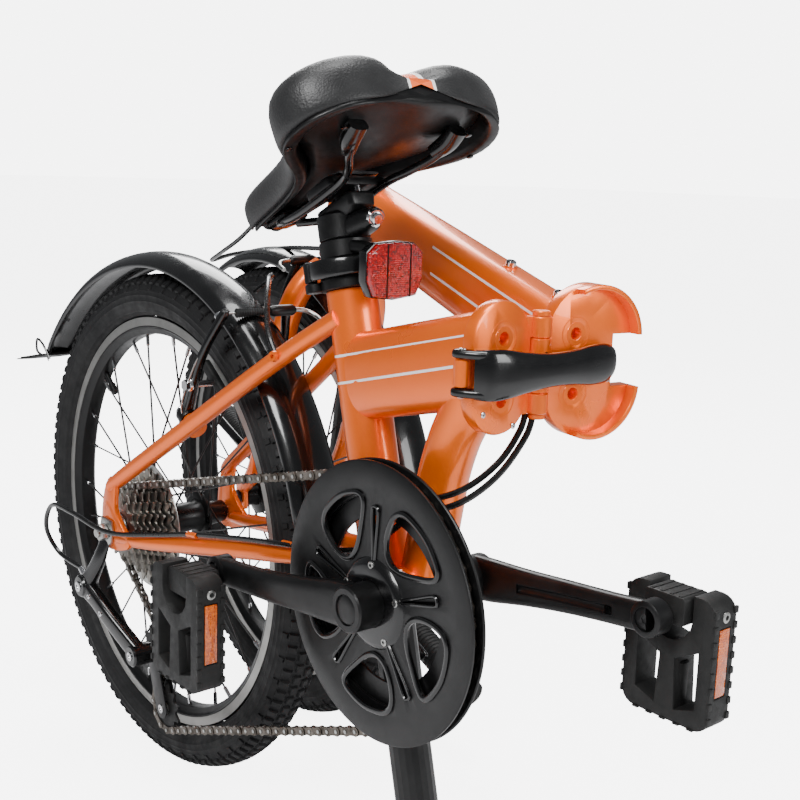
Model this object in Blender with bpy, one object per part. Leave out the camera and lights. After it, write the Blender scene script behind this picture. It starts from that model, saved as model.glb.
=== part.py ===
"""A folding bicycle in its folded pose: the rear half stands upright on its wheel and on the lowered seatpost,
and the front half lies beside the rear wheel.

Units are metres. The origin is on the floor under the rear axle, +X points from the rear axle to the bottom
bracket, +Y to the rider's left, +Z up. Every piece of the front half is modelled where it is when the bicycle is
ridden, and the empties of the joints turn it into the folded pose.
"""

import math

import bmesh
import bpy
from mathutils import Quaternion, Vector

X = Vector((1, 0, 0))
Y = Vector((0, 1, 0))
Z = Vector((0, 0, 1))
GAP = 0.0003

# Wheels
WHEEL_R = 0.250
TYRE_SECTION_R = 0.0235
RIM_OUTER_R = 0.208
RIM_TRACK_R = 0.197
RIM_INNER_R = 0.190
RIM_HALF_WIDTH = 0.0125
REAR_AXLE = Vector((0, 0, WHEEL_R))
FRONT_AXLE = Vector((0.974, 0, WHEEL_R))
WHEEL_SEGMENTS = 36
SPOKES = 28

# Rear frame
BB = Vector((0.3896, 0, 0.2919))
BB_SHELL_R = 0.0214
BB_HALF_WIDTH = 0.034
SEAT_ANGLE = math.radians(75.75)
SEAT_AXIS = Vector((-math.cos(SEAT_ANGLE), 0, math.sin(SEAT_ANGLE)))
SEAT_POINT = Vector((0.3463, 0, 0.2919))
SEAT_TUBE_R = 0.0204
SEAT_TUBE_BORE_R = 0.0173
SEATPOST_R = 0.01695
SEAT_TUBE_TOP_Z = 0.513
SEAT_TUBE_FOOT_Z = 0.255
SEATPOST_FOOT_Z = 0.016
SEATPOST_TOP_Z = 0.5675
SEATPOST_BORE_R = 0.0152
MAIN_TUBE_SLOPE = math.radians(13.5)
MAIN_TUBE_HALF = (0.022, 0.0345)
STAY_R = 0.008
DROPOUT_Y = 0.0665
DROPOUT_HALF_THICKNESS = 0.0025

# Main hinge
HINGE_X = 0.463
HINGE_PIN = Vector((HINGE_X, 0.036, 0))
HINGE_MID_Z = 0.475
PLATE_THICKNESS = 0.0125
BARREL_R = 0.008
PIN_R = 0.004
FOLD_ANGLE = math.radians(169.5)
LATCH_PIVOT = Vector((0.4615, -0.0375, HINGE_MID_Z))

# Front half, as ridden
FRONT_TUBE_SLOPE = math.radians(15)
STEER_POINT = Vector((0.937, 0, WHEEL_R))
HEAD_ANGLE = math.radians(72)
STEER_AXIS = Vector((-math.cos(HEAD_ANGLE), 0, math.sin(HEAD_ANGLE)))
STEER_FORWARD = Vector((math.sin(HEAD_ANGLE), 0, math.cos(HEAD_ANGLE)))
STEER_TURN = math.radians(4.8)
HEAD_TUBE_R = 0.022
HEAD_BORE_R = 0.0150
HEAD_LOW, HEAD_HIGH = 0.2840, 0.3940
POST_HINGE_T = 0.4183
POST_HINGE_OUT = 0.035
POST_OUT = (STEER_FORWARD - Y).normalized()
POST_ACROSS = (STEER_FORWARD + Y).normalized()
POST_FOLD_AXIS = (POST_ACROSS - 0.023 * STEER_AXIS).normalized()
POST_FOLD = math.radians(176.5)
BAR_T = 0.945
BAR_HALF_LENGTH = 0.300

# Drive
CRANK_LENGTH = 0.170
CRANK_RISE = math.radians(6)
CHAIN_Y = -0.0428
CHAINRING_PITCH_R = 0.0971
SPROCKET_PITCH_R = 0.0404
JOCKEY_PITCH_R = 0.0225
JOCKEY_HIGH = Vector((0.046, 0, 0.135))
JOCKEY_LOW = Vector((0.066, 0, 0.082))
CHAIN_HALF_HEIGHT = 0.0037
CHAIN_HALF_WIDTH = 0.0027
GUARD_R = 0.1075

# Saddle: its nose, and the directions along and up from it
SADDLE_NOSE = Vector((0.1515, 0, 0.5626))
SADDLE_TILT = math.radians(26.3)
SADDLE_ALONG = Vector((math.cos(SADDLE_TILT), 0, math.sin(SADDLE_TILT)))
SADDLE_UP = Vector((-math.sin(SADDLE_TILT), 0, math.cos(SADDLE_TILT)))
SADDLE_PIVOT = Vector((0.280, 0, 0.5915))

COLOURS = {
    "orange_paint": ((0.95, 0.24, 0.02), 0.25, 0.3),
    "black_paint": ((0.012, 0.012, 0.013), 0.35, 0.2),
    "black_plastic": ((0.02, 0.02, 0.02), 0.5, 0.0),
    "tyre_rubber": ((0.02, 0.02, 0.02), 0.85, 0.0),
    "rim_metal": ((0.35, 0.35, 0.35), 0.3, 1.0),
    "steel": ((0.55, 0.53, 0.5), 0.3, 1.0),
    "chain_metal": ((0.28, 0.24, 0.2), 0.4, 1.0),
    "saddle_vinyl": ((0.03, 0.03, 0.03), 0.6, 0.0),
    "red_lens": ((0.7, 0.01, 0.02), 0.15, 0.0),
}


# Tools

def clear_scene():
    for obj in list(bpy.data.objects):
        bpy.data.objects.remove(obj)


def material(name):
    found = bpy.data.materials.get(name)
    if found:
        return found
    colour, roughness, metallic = COLOURS[name]
    made = bpy.data.materials.new(name)
    made.use_nodes = True
    shader = made.node_tree.nodes["Principled BSDF"]
    shader.inputs["Base Color"].default_value = (*colour, 1)
    shader.inputs["Roughness"].default_value = roughness
    shader.inputs["Metallic"].default_value = metallic
    return made


def joint_empty(name, point, axis=Z, angle=0.0, parent=None):
    """An empty on a joint. Its children are modelled as ridden, and it turns them by angle about axis at point."""
    empty = bpy.data.objects.new(name, None)
    bpy.context.scene.collection.objects.link(empty)
    empty.parent = parent
    empty["anchor"] = list(point)
    base = Vector(parent["anchor"]) if parent else Vector((0, 0, 0))
    empty.location = Vector(point) - base
    empty.rotation_mode = "QUATERNION"
    empty.rotation_quaternion = Quaternion(Vector(axis), angle)
    return empty


def solid(name, bm, paint, parent=None):
    """Turns a bmesh into a named object, under the empty of the joint that moves it."""
    bmesh.ops.recalc_face_normals(bm, faces=bm.faces)
    mesh = bpy.data.meshes.new(name)
    bm.to_mesh(mesh)
    bm.free()
    mesh.shade_smooth()
    mesh.set_sharp_from_angle(angle=math.radians(35))
    obj = bpy.data.objects.new(name, mesh)
    bpy.context.scene.collection.objects.link(obj)
    mesh.materials.append(material(paint))
    if parent:
        obj.parent = parent
        obj.location = -Vector(parent["anchor"])
    return obj


def helper(bm, parent=None):
    """A shape that is only joined to or cut out of another object."""
    obj = solid("helper", bm, "steel", parent)
    obj.hide_render = True
    obj.display_type = "WIRE"
    return obj


def change(obj, bm, operation):
    modifier = obj.modifiers.new(operation.lower(), "BOOLEAN")
    modifier.operation = operation
    modifier.solver = "EXACT"
    modifier.object = helper(bm, obj.parent)


def join(obj, *shapes):
    for bm in shapes:
        change(obj, bm, "UNION")


def carve(obj, *shapes):
    for bm in shapes:
        change(obj, bm, "DIFFERENCE")


def across(axis):
    guide = Z if abs(axis.dot(Z)) < 0.8 else X
    return (guide - guide.dot(axis) * axis).normalized()


def lathe(profile, origin, axis, segments=20):
    """Turns a profile of (along, radius) points about an axis. A profile that starts on the axis makes a solid one,
    and any other closes on itself as a ring."""
    origin = Vector(origin)
    axis = Vector(axis).normalized()
    side = across(axis)
    other = axis.cross(side)
    bm = bmesh.new()
    rows = []
    for along, radius in profile:
        centre = origin + axis * along
        if radius == 0:
            rows.append([bm.verts.new(centre)])
            continue
        row = []
        for k in range(segments):
            turn = 2 * math.pi * k / segments
            row.append(bm.verts.new(centre + (side * math.cos(turn) + other * math.sin(turn)) * radius))
        rows.append(row)
    pairs = list(zip(rows, rows[1:]))
    if profile[0][1] > 0:
        pairs.append((rows[-1], rows[0]))
    for low, high in pairs:
        for k in range(segments):
            n = (k + 1) % segments
            corners = (low[k % len(low)], low[n % len(low)], high[n % len(high)], high[k % len(high)])
            bm.faces.new(list(dict.fromkeys(corners)))
    return bm


def rod(start, end, radius, segments=16):
    """A plain cylinder between two points."""
    start = Vector(start)
    length = (Vector(end) - start).length
    return lathe([(0, 0), (0, radius), (length, radius), (length, 0)], start, Vector(end) - start, segments)


def pipe(start, end, radius, bore, segments=20):
    start = Vector(start)
    length = (Vector(end) - start).length
    return lathe([(0, bore), (0, radius), (length, radius), (length, bore)], start, Vector(end) - start, segments)


def loft(profile, stations, closed=False):
    """Skins a profile of (u, v) points through stations, each a centre and its u and v directions."""
    bm = bmesh.new()
    rows = []
    for centre, u_axis, v_axis in stations:
        rows.append([bm.verts.new(Vector(centre) + u * u_axis + v * v_axis) for u, v in profile])
    pairs = list(zip(rows, rows[1:]))
    if closed:
        pairs.append((rows[-1], rows[0]))
    else:
        bm.faces.new(rows[0])
        bm.faces.new(rows[-1])
    count = len(profile)
    for low, high in pairs:
        for k in range(count):
            n = (k + 1) % count
            bm.faces.new((low[k], low[n], high[n], high[k]))
    return bm


def skin(bm, rows):
    """Joins rows of vertices into one closed skin."""
    bm.faces.new(rows[0])
    bm.faces.new(rows[-1])
    count = len(rows[0])
    for low, high in zip(rows, rows[1:]):
        for k in range(count):
            n = (k + 1) % count
            bm.faces.new((low[k], low[n], high[n], high[k]))


def round_profile(count=10, power=1.0):
    """A unit circle, or with a power under 1 a rounder-cornered square."""
    points = []
    for k in range(count):
        turn = 2 * math.pi * (k + 0.5) / count
        c, s = math.cos(turn), math.sin(turn)
        points.append((math.copysign(abs(c) ** power, c), math.copysign(abs(s) ** power, s)))
    return points


SQUARE = [(1, 1), (-1, 1), (-1, -1), (1, -1)]


def along_path(path, sizes, guide=Y, closed=False):
    """Stations square to a path, with u along the guide direction. sizes holds (half_u, half_v) for each point."""
    path = [Vector(point) for point in path]
    last = len(path) - 1
    stations = []
    for k, point in enumerate(path):
        before = path[k - 1] if k or closed else point
        after = path[(k + 1) % len(path)] if k < last or closed else point
        ahead = (after - before).normalized()
        u_axis = (guide - guide.dot(ahead) * ahead).normalized()
        v_axis = ahead.cross(u_axis)
        half_u, half_v = sizes[k] if isinstance(sizes, list) else sizes
        stations.append((point, u_axis * half_u, v_axis * half_v))
    return stations


def tube(path, radii, guide=Y, segments=10):
    sizes = [(r, r) for r in radii] if isinstance(radii, list) else (radii, radii)
    return loft(round_profile(segments), along_path(path, sizes, guide))


def bar(path, sizes, guide=Y):
    return loft(SQUARE, along_path(path, sizes, guide))


def block(centre, half, u_axis=X, v_axis=Y):
    """A box around a centre, with its three half sizes along u, v and their cross product."""
    w_axis = u_axis.cross(v_axis)
    centre = Vector(centre)
    stations = [(centre + w_axis * side * half[2], u_axis * half[0], v_axis * half[1]) for side in (-1, 1)]
    return loft(SQUARE, stations)


def slab(outline, origin, u_axis, v_axis, depth):
    """An outline of (u, v) points made depth thick, along u cross v."""
    w_axis = u_axis.cross(v_axis).normalized()
    return loft(outline, [(origin, u_axis, v_axis), (Vector(origin) + w_axis * depth, u_axis, v_axis)])


def arc(centre, radius, first, last, count):
    """Points of a circular arc in degrees, as (u, v)."""
    points = []
    for k in range(count):
        turn = math.radians(first + (last - first) * k / (count - 1))
        points.append((centre[0] + radius * math.cos(turn), centre[1] + radius * math.sin(turn)))
    return points


def mirrored(point, side):
    return Vector((point[0], point[1] * side, point[2]))


# Seat tube and what stands in it

def seat_at(along):
    return SEAT_POINT + SEAT_AXIS * along


def seat_height(z):
    """How far along the seat tube's axis a height is."""
    return (z - SEAT_POINT.z) / SEAT_AXIS.z


def seat_cutter():
    return rod(seat_at(seat_height(0.2)), seat_at(seat_height(0.62)), SEAT_TUBE_R + GAP, 24)


def bb_cutter():
    return rod(BB - Y * 0.06, BB + Y * 0.06, BB_SHELL_R + GAP, 24)


def make_seat_tube():
    low = seat_at(seat_height(SEAT_TUBE_FOOT_Z))
    high = seat_at(seat_height(SEAT_TUBE_TOP_Z))
    solid("seat_tube", pipe(low, high, SEAT_TUBE_R, SEAT_TUBE_BORE_R, 24), "orange_paint")
    shell = pipe(BB - Y * BB_HALF_WIDTH, BB + Y * BB_HALF_WIDTH, BB_SHELL_R, 0.0092, 24)
    solid("bottom_bracket_shell", shell, "orange_paint")


def make_seatpost(parent):
    low = seat_at(seat_height(SEATPOST_FOOT_Z))
    high = seat_at(seat_height(SEATPOST_TOP_Z))
    solid("seatpost", pipe(low, high, SEATPOST_R, SEATPOST_BORE_R, 20), "black_paint", parent)
    top = low - SEAT_AXIS * GAP
    foot = solid("seatpost_foot", foot_pad(top), "black_plastic", parent)
    join(foot, rod(top - SEAT_AXIS * 0.004, top + SEAT_AXIS * 0.025, 0.0148, 16))


def foot_pad(top):
    """The pad under the slanting post: square to the post at the top, level where it stands on the floor."""
    sole = []
    for u, v in round_profile(20):
        point = top + X * (u * SEATPOST_R) + Y * (v * SEATPOST_R)
        sole.append(point - SEAT_AXIS * (point.z / SEAT_AXIS.z))
    centre = sum(sole, Vector((0, 0, 0))) / len(sole)
    bm = bmesh.new()
    rows = [[], []]
    for point in sole:
        spread = point - centre
        spread -= SEAT_AXIS * spread.dot(SEAT_AXIS)
        spread = spread.normalized() * min(spread.length, SEATPOST_R)
        rows[0].append(bm.verts.new((point.x, point.y, 0)))
        rows[1].append(bm.verts.new(top + spread))
    skin(bm, rows)
    return bm


CLAMP_LOW = seat_height(SEAT_TUBE_TOP_Z) + GAP
CLAMP_HEIGHT = 0.0245
CLAMP_R = 0.0245
LEVER_PIVOT_TURN = math.radians(-130)


def clamp_point(turn, radius, along):
    forward = Y.cross(SEAT_AXIS)
    return seat_at(along) + (forward * math.cos(turn) + Y * math.sin(turn)) * radius


def make_seat_clamp(parent):
    low, high = CLAMP_LOW, CLAMP_LOW + CLAMP_HEIGHT
    clamp = solid("seat_clamp", pipe(seat_at(low), seat_at(high), CLAMP_R, SEAT_TUBE_BORE_R, 24), "black_paint")
    split = low + 0.008
    lug = (clamp_point(LEVER_PIVOT_TURN, 0.028, low), clamp_point(LEVER_PIVOT_TURN, 0.028, split))
    join(clamp, rod(*lug, 0.0085, 12))
    carve(clamp, pipe(seat_at(low - 0.01), seat_at(high + 0.01), SEAT_TUBE_BORE_R, 0.010, 24))
    knuckle_high = clamp_point(LEVER_PIVOT_TURN, 0.031, high)
    lever = solid(
        "seat_clamp_lever",
        rod(clamp_point(LEVER_PIVOT_TURN, 0.031, split + GAP), knuckle_high, 0.005, 12),
        "black_paint",
        parent,
    )
    middle = (split + high) / 2
    path = [clamp_point(math.radians(turn), 0.0300, middle) for turn in range(-128, 0, 14)]
    join(lever, bar(path, (0.0075, 0.0020), SEAT_AXIS))


def make_rear_reflector(parent):
    ring = pipe(seat_at(0.2533), seat_at(0.2670), 0.0215, SEAT_TUBE_BORE_R, 20)
    reflector = solid("rear_reflector", ring, "red_lens", parent)
    arm = bar([(0.3005, 0, 0.5495), (0.318, 0, 0.549), (0.3345, 0, 0.541)], (0.006, 0.004))
    outline = [(-0.0275, -0.008), (-0.022, -0.020), (0, -0.023), (0.022, -0.020), (0.0275, -0.008),
               (0.0275, 0.014), (0.020, 0.021), (-0.020, 0.021), (-0.0275, 0.014)]
    join(reflector, arm, slab(outline, Vector((0.333, 0, 0.533)), Y, Z, 0.013))


# Saddle

def saddle_at(along, side, up):
    return SADDLE_NOSE + SADDLE_ALONG * along + Y * side + SADDLE_UP * up


def make_saddle_clamp(parent):
    cap = rod(seat_at(0.2680), seat_at(0.2900), 0.0205, 20)
    clamp = solid("saddle_clamp", cap, "black_paint", parent)
    join(clamp, block((0.2815, 0, 0.5750), (0.024, 0.014, 0.0070), SADDLE_ALONG, Y))
    carve(clamp, rod(seat_at(0.2500), seat_at(0.2850), SEAT_TUBE_BORE_R, 20))


# along from the nose, half width, crown, bottom
SADDLE_SECTIONS = (
    (0.000, 0.007, 0.006, -0.014), (0.0055, 0.0145, 0.013, -0.014), (0.027, 0.0215, 0.018, -0.014),
    (0.062, 0.0245, 0.019, -0.014), (0.098, 0.032, 0.019, -0.0145), (0.1335, 0.055, 0.021, -0.017),
    (0.160, 0.083, 0.025, -0.020), (0.187, 0.1015, 0.030, -0.0215), (0.2135, 0.099, 0.032, -0.0190),
    (0.233, 0.080, 0.028, -0.0160), (0.243, 0.050, 0.018, -0.0130),
)
RAIL_HALF = [(0.205, 0.046, -0.0325), (0.172, 0.030, -0.0345), (0.150, 0.022, -0.0355), (0.098, 0.0215, -0.0355),
             (0.067, 0.017, -0.0310), (0.040, 0.009, -0.0252)]


def make_saddle(parent):
    path = [saddle_at(u, y, w) for u, y, w in RAIL_HALF]
    path += [saddle_at(u, -y, w) for u, y, w in reversed(RAIL_HALF)]
    rails = solid("saddle_rails", tube(path, 0.0035, SADDLE_UP, 8), "black_paint", parent)
    plate = saddle_at(0.128, 0, -0.0310)
    join(rails, block(plate, (0.018, 0.0285, 0.0040), SADDLE_ALONG, Y))
    crown = arc((0, 0), 1, 0, 180, 9)
    bm = bmesh.new()
    rows = []
    for along, half, top, bottom in SADDLE_SECTIONS:
        row = [bm.verts.new(saddle_at(along, u * half, v * top)) for u, v in crown]
        row += [bm.verts.new(saddle_at(along, u * half, bottom)) for u in (-0.96, 0.96)]
        rows.append(row)
    skin(bm, rows)
    solid("saddle_cover", bm, "saddle_vinyl", parent)
    bm = bmesh.new()
    rows = []
    for along, half, _, bottom in SADDLE_SECTIONS[1:-1]:
        inner = half - 0.006
        corners = [(inner, -0.0004), (inner * 0.96, -0.006), (-inner * 0.96, -0.006), (-inner, -0.0004)]
        rows.append([bm.verts.new(saddle_at(along, y, bottom + w)) for y, w in corners])
    skin(bm, rows)
    solid("saddle_shell", bm, "black_plastic", parent)


# Rear frame tubes

def main_tube_at(x):
    return Vector((x, 0, 0.468 + (x - 0.400) * math.tan(MAIN_TUBE_SLOPE)))


def main_tube(grow=0.0):
    half_y, half_z = MAIN_TUBE_HALF
    tall = (half_z + grow) / math.cos(MAIN_TUBE_SLOPE)
    stations = [
        (main_tube_at(0.307), Y * (half_y - 0.0022 + grow), SEAT_AXIS * tall),
        (main_tube_at(0.345), Y * (half_y + grow), Z * tall),
        (main_tube_at(HINGE_X - PLATE_THICKNESS - GAP), Y * (half_y + grow), Z * tall),
    ]
    return loft(round_profile(20, 0.62), stations)


def make_main_tube():
    obj = solid("rear_main_tube", main_tube(), "orange_paint")
    carve(obj, seat_cutter())


def stadium(radius, half_height, centre_y=-0.0005):
    """Outline of an upright slot shape in (y, z), seen from the front."""
    top = arc((centre_y, HINGE_MID_Z + half_height), radius, 0, 180, 13)
    bottom = arc((centre_y, HINGE_MID_Z - half_height), radius, 180, 360, 13)
    return top + bottom


def knuckle(low, high):
    return rod(HINGE_PIN + Z * low, HINGE_PIN + Z * high, BARREL_R, 16)


def pin_bore():
    return rod(HINGE_PIN + Z * 0.3, HINGE_PIN + Z * 0.6, PIN_R + GAP, 12)


REAR_KNUCKLES = ((0.440, 0.4550), (0.4950, 0.510))
LOCATING_HEIGHTS = (0.452, 0.496)
FRONT_KNUCKLE = (0.4554, 0.4946)


def locating_bores(y, first_x, last_x):
    """The two shallow holes in a hinge face that keep the plates in line."""
    return [rod((first_x, y, z), (last_x, y, z), 0.0048, 12) for z in LOCATING_HEIGHTS]


def make_rear_hinge_plate():
    face = HINGE_X - GAP
    plate = slab(stadium(0.028, 0.0195), Vector((HINGE_X - PLATE_THICKNESS, 0, 0)), Y, Z, PLATE_THICKNESS - GAP)
    obj = solid("rear_hinge_plate", plate, "orange_paint")
    for low, high in REAR_KNUCKLES:
        centre = ((face + HINGE_X - 0.010) / 2, 0.028, (low + high) / 2)
        join(obj, block(centre, ((face - HINGE_X + 0.010) / 2, 0.008, (high - low) / 2)))
        join(obj, knuckle(low, high))
    lug = block(LATCH_PIVOT + Vector((-0.0045, 0.0065, 0)), (0.0045, 0.0065, 0.0095))
    join(obj, lug, rod(LATCH_PIVOT - Z * 0.0095, LATCH_PIVOT + Z * 0.0095, 0.0055, 12))
    carve(obj, pin_bore(), rod(LATCH_PIVOT - Z * 0.03, LATCH_PIVOT + Z * 0.03, 0.0026, 10))
    carve(obj, *locating_bores(0.0, HINGE_X - 0.007, HINGE_X + 0.01))
    pin = [(0.4360, 0), (0.4360, 0.0065), (0.4397, 0.0065), (0.4397, PIN_R), (0.5103, PIN_R), (0.5103, 0.0065),
           (0.5140, 0.0065), (0.5140, 0)]
    solid("hinge_pin", lathe(pin, HINGE_PIN, Z, 12), "steel")


def make_latch(parent):
    path = [
        LATCH_PIVOT + Vector((0.0100, 0.0040, 0)),
        LATCH_PIVOT + Vector((0.0185, 0.0120, 0)),
        LATCH_PIVOT + Vector((0.0215, 0.0350, 0)),
        LATCH_PIVOT + Vector((0.0225, 0.0700, 0)),
        LATCH_PIVOT + Vector((0.0215, 0.1050, 0)),
        LATCH_PIVOT + Vector((0.0175, 0.1330, 0)),
        LATCH_PIVOT + Vector((0.0165, 0.1370, 0)),
    ]
    sizes = [(0.0165, 0.0030), (0.0165, 0.0040), (0.0150, 0.0045), (0.0135, 0.0045), (0.0155, 0.0045),
             (0.0100, 0.0035), (0.0040, 0.0020)]
    lever = solid("frame_latch_lever", loft(round_profile(12, 0.7), along_path(path, sizes, Z)), "black_plastic",
                  parent)
    for side in (-1, 1):
        centre = LATCH_PIVOT + Z * 0.0132 * side
        join(lever, rod(centre - Z * 0.0033, centre + Z * 0.0033, 0.0060, 12))
        join(lever, block(centre + Vector((0.0065, 0.0025, 0)), (0.0065, 0.0045, 0.0033)))
    join(lever, rod(LATCH_PIVOT - Z * 0.0160, LATCH_PIVOT + Z * 0.0160, 0.0022, 10))


def make_lower_strut():
    path = [(0.438, 0, 0.462), (0.431, 0, 0.442), (0.418, 0, 0.418), (0.4075, 0, 0.388), (0.400, 0, 0.350),
            (0.393, 0, 0.315), (0.3905, 0, 0.302)]
    obj = solid("lower_strut", tube(path, 0.0195, Y, 16), "orange_paint")
    behind_plate = block((HINGE_X - PLATE_THICKNESS - GAP + 0.05, 0, 0.45), (0.05, 0.05, 0.08))
    carve(obj, main_tube(GAP), bb_cutter(), behind_plate)


def dropout_outline():
    """Outline in (x, z): a lobe around the axle, reaching forward to the chainstay and up to the seatstay."""
    return [(-0.012, 0.238), (0.004, 0.232), (0.036, 0.240), (0.040, 0.250), (0.024, 0.262), (0.012, 0.276),
            (0.014, 0.300), (0.003, 0.306), (-0.009, 0.290), (-0.015, 0.262)]


def dropout(side, grow=0.0):
    outer = DROPOUT_Y + DROPOUT_HALF_THICKNESS + grow
    inner = DROPOUT_Y - DROPOUT_HALF_THICKNESS - grow
    outline = [Vector(p) for p in dropout_outline()]
    centre = sum(outline, Vector((0, 0))) / len(outline)
    outline = [p + (p - centre).normalized() * grow for p in outline]
    return loft(outline, [(Y * side * y, X, Z) for y in (inner, outer)])


def make_chainstays():
    for name, side in (("chainstay_right", -1), ("chainstay_left", 1)):
        path = [(0.016, 0.0650, 0.2455), (0.060, 0.0595, 0.2525), (0.140, 0.0480, 0.268), (0.228, 0.0345, 0.284),
                (0.285, 0.0275, 0.293), (0.372, 0.0245, 0.299)]
        radii = [0.0058, 0.0072, STAY_R, STAY_R, 0.0075, STAY_R]
        obj = solid(name, tube([mirrored(p, side) for p in path], radii), "orange_paint")
        join(obj, dropout(side))
        carve(obj, seat_cutter(), bb_cutter(), rod(REAR_AXLE - Y * 0.1, REAR_AXLE + Y * 0.1, 0.0052, 12))


def brake_boss(side):
    """Where a rear brake arm turns: on the outer rear of the seatstay."""
    return Vector((0.103, 0.0415 * side, 0.382))


BRAKE_AXIS = Vector((-0.893, 0, 0.45)).normalized()


def make_seatstays():
    for name, side in (("seatstay_right", -1), ("seatstay_left", 1)):
        path = [(0.000, 0.0655, 0.2945), (0.020, 0.0625, 0.309), (0.112, 0.0500, 0.3700), (0.200, 0.0370, 0.429),
                (0.250, 0.0270, 0.4625), (0.296, 0.0160, 0.492)]
        radii = [0.0065, 0.0075, STAY_R, STAY_R, STAY_R, STAY_R]
        obj = solid(name, tube([mirrored(p, side) for p in path], radii), "orange_paint")
        boss = brake_boss(side)
        join(obj, rod(boss - BRAKE_AXIS * 0.020, boss - BRAKE_AXIS * 0.0062, 0.0070, 12))
        join(obj, rod(boss - BRAKE_AXIS * 0.0070, boss + BRAKE_AXIS * 0.0060, 0.0040, 12))
        carve(obj, seat_cutter(), dropout(side, GAP))


# Fenders

def fender_profile():
    """An arched strip in (y, out) about the crown, 2 mm thick."""
    half_width, drop, thickness = 0.0255, 0.014, 0.002
    outer = [(half_width * math.sin(a), drop * (math.cos(a) - 1)) for a in fender_angles()]
    inner = [((half_width - 0.0012) * math.sin(a), drop * (math.cos(a) - 1) - thickness) for a in fender_angles()]
    return outer + inner[::-1]


def fender_angles():
    return [math.radians(turn) for turn in range(-90, 91, 30)]


def fender(centre, first, last, count, rise):
    """A fender about a wheel between two angles from +X, whose radius grows by rise towards the last one."""
    stations = []
    for k in range(count):
        turn = first + (last - first) * k / (count - 1)
        radius = 0.272 + rise * max(0.0, (turn - 95) / 57) ** 2
        out = X * math.cos(math.radians(turn)) + Z * math.sin(math.radians(turn))
        stations.append((centre + out * radius, Y, out))
    return loft(fender_profile(), stations)


def make_rear_fender():
    obj = solid("rear_fender", fender(REAR_AXLE, 11, 152, 24, 0.020), "black_plastic")
    join(obj, bar([(-0.2500, 0, 0.3868), (-0.2900, 0, 0.3775), (-0.3270, 0, 0.3710)], (0.0235, 0.0016)))


# Wheels

def make_tyre(name, axle, parent):
    centre_r = WHEEL_R - TYRE_SECTION_R
    profile = []
    for k in range(9):
        turn = math.radians(-140 + 35 * k)
        profile.append((TYRE_SECTION_R * math.sin(turn), centre_r + TYRE_SECTION_R * math.cos(turn)))
    solid(name, lathe(profile, axle, Y, WHEEL_SEGMENTS), "tyre_rubber", parent)


def make_rim(name, axle, parent):
    half = RIM_HALF_WIDTH
    outer = RIM_OUTER_R - 0.0005
    profile = [(-half, outer), (half, outer), (half, RIM_TRACK_R), (0.007, RIM_INNER_R), (-0.007, RIM_INNER_R),
               (-half, RIM_TRACK_R)]
    solid(name, lathe(profile, axle, Y, WHEEL_SEGMENTS), "rim_metal", parent)


def spoke_faces(bm, axle, flange_y, first):
    """Every second face of the flange's edge around the hub."""
    found = []
    for face in bm.faces:
        middle = face.calc_center_median() - axle
        radial = Vector((middle.x, 0, middle.z))
        if abs(middle.y - flange_y) > 0.0005 or abs(face.normal.y) > 0.1:
            continue
        turn = round((math.atan2(middle.x, middle.z) / (2 * math.pi) * SPOKES - 0.5) % SPOKES)
        if radial.length > 0.020 and turn % 2 == first:
            found.append(face)
    return found


def make_hub(name, axle, profile, flanges, parent):
    """A hub turned from its profile, with a spoke drawn out of every second face of each flange."""
    bm = lathe(profile, axle, Y, SPOKES)
    bmesh.ops.recalc_face_normals(bm, faces=bm.faces)
    for flange_y, first in flanges:
        for face in spoke_faces(bm, axle, flange_y, first):
            bmesh.ops.inset_individual(bm, faces=[face], thickness=0.0007)
            made = bmesh.ops.extrude_discrete_faces(bm, faces=[face])["faces"][0]
            middle = made.calc_center_median()
            out = Vector((middle.x - axle.x, 0, middle.z - axle.z)).normalized()
            tip = axle + out * (RIM_INNER_R - 0.0016) + Y * math.copysign(0.003, flange_y)
            for vertex in made.verts:
                offset = vertex.co - middle
                vertex.co = tip + offset.normalized() * 0.0012
    solid(name, bm, "steel", parent)


def make_rear_wheel(parent):
    make_tyre("rear_tyre", REAR_AXLE, parent)
    make_rim("rear_rim", REAR_AXLE, parent)
    bore = 0.0053
    profile = [(-0.0575, bore), (-0.0575, 0.0165), (-0.0250, 0.0165), (-0.0250, 0.0300), (-0.0215, 0.0300),
               (-0.0215, 0.0160), (0.0305, 0.0160), (0.0305, 0.0240), (0.0340, 0.0240), (0.0340, 0.0120),
               (0.0600, 0.0110), (0.0600, bore)]
    make_hub("rear_hub", REAR_AXLE, profile, ((-0.02325, 0), (0.03225, 1)), parent)


def make_rear_axle():
    nut, thread = 0.0085, 0.0048
    profile = [(-0.0830, 0), (-0.0830, thread), (-0.0797, thread), (-0.0797, nut), (-0.0727, nut),
               (-0.0727, thread), (0.0693, thread), (0.0693, nut), (0.0765, nut), (0.0765, thread),
               (0.0800, thread), (0.0800, 0)]
    solid("rear_axle", lathe(profile, REAR_AXLE, Y, 12), "steel")


def make_freewheel(parent):
    """Seven sprockets side by side, the largest nearest the wheel."""
    radii = (0.0570, 0.0500, 0.0440, 0.0352, 0.0345, 0.0315, 0.0285)
    first_y, pitch, thickness, body_r = -0.0290, 0.00450, 0.0018, 0.0255
    profile = [(-0.0570, 0.0170), (-0.0570, body_r)]
    for k in reversed(range(len(radii))):
        centre = first_y - pitch * k
        profile += [(centre - thickness / 2, body_r), (centre - thickness / 2, radii[k]),
                    (centre + thickness / 2, radii[k]), (centre + thickness / 2, body_r)]
    profile += [(-0.0270, body_r), (-0.0270, 0.0170)]
    profile = [point for k, point in enumerate(profile) if point != profile[k - 1]]
    solid("freewheel", lathe(profile, REAR_AXLE, Y, 18), "chain_metal", parent)


# Drive

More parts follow.
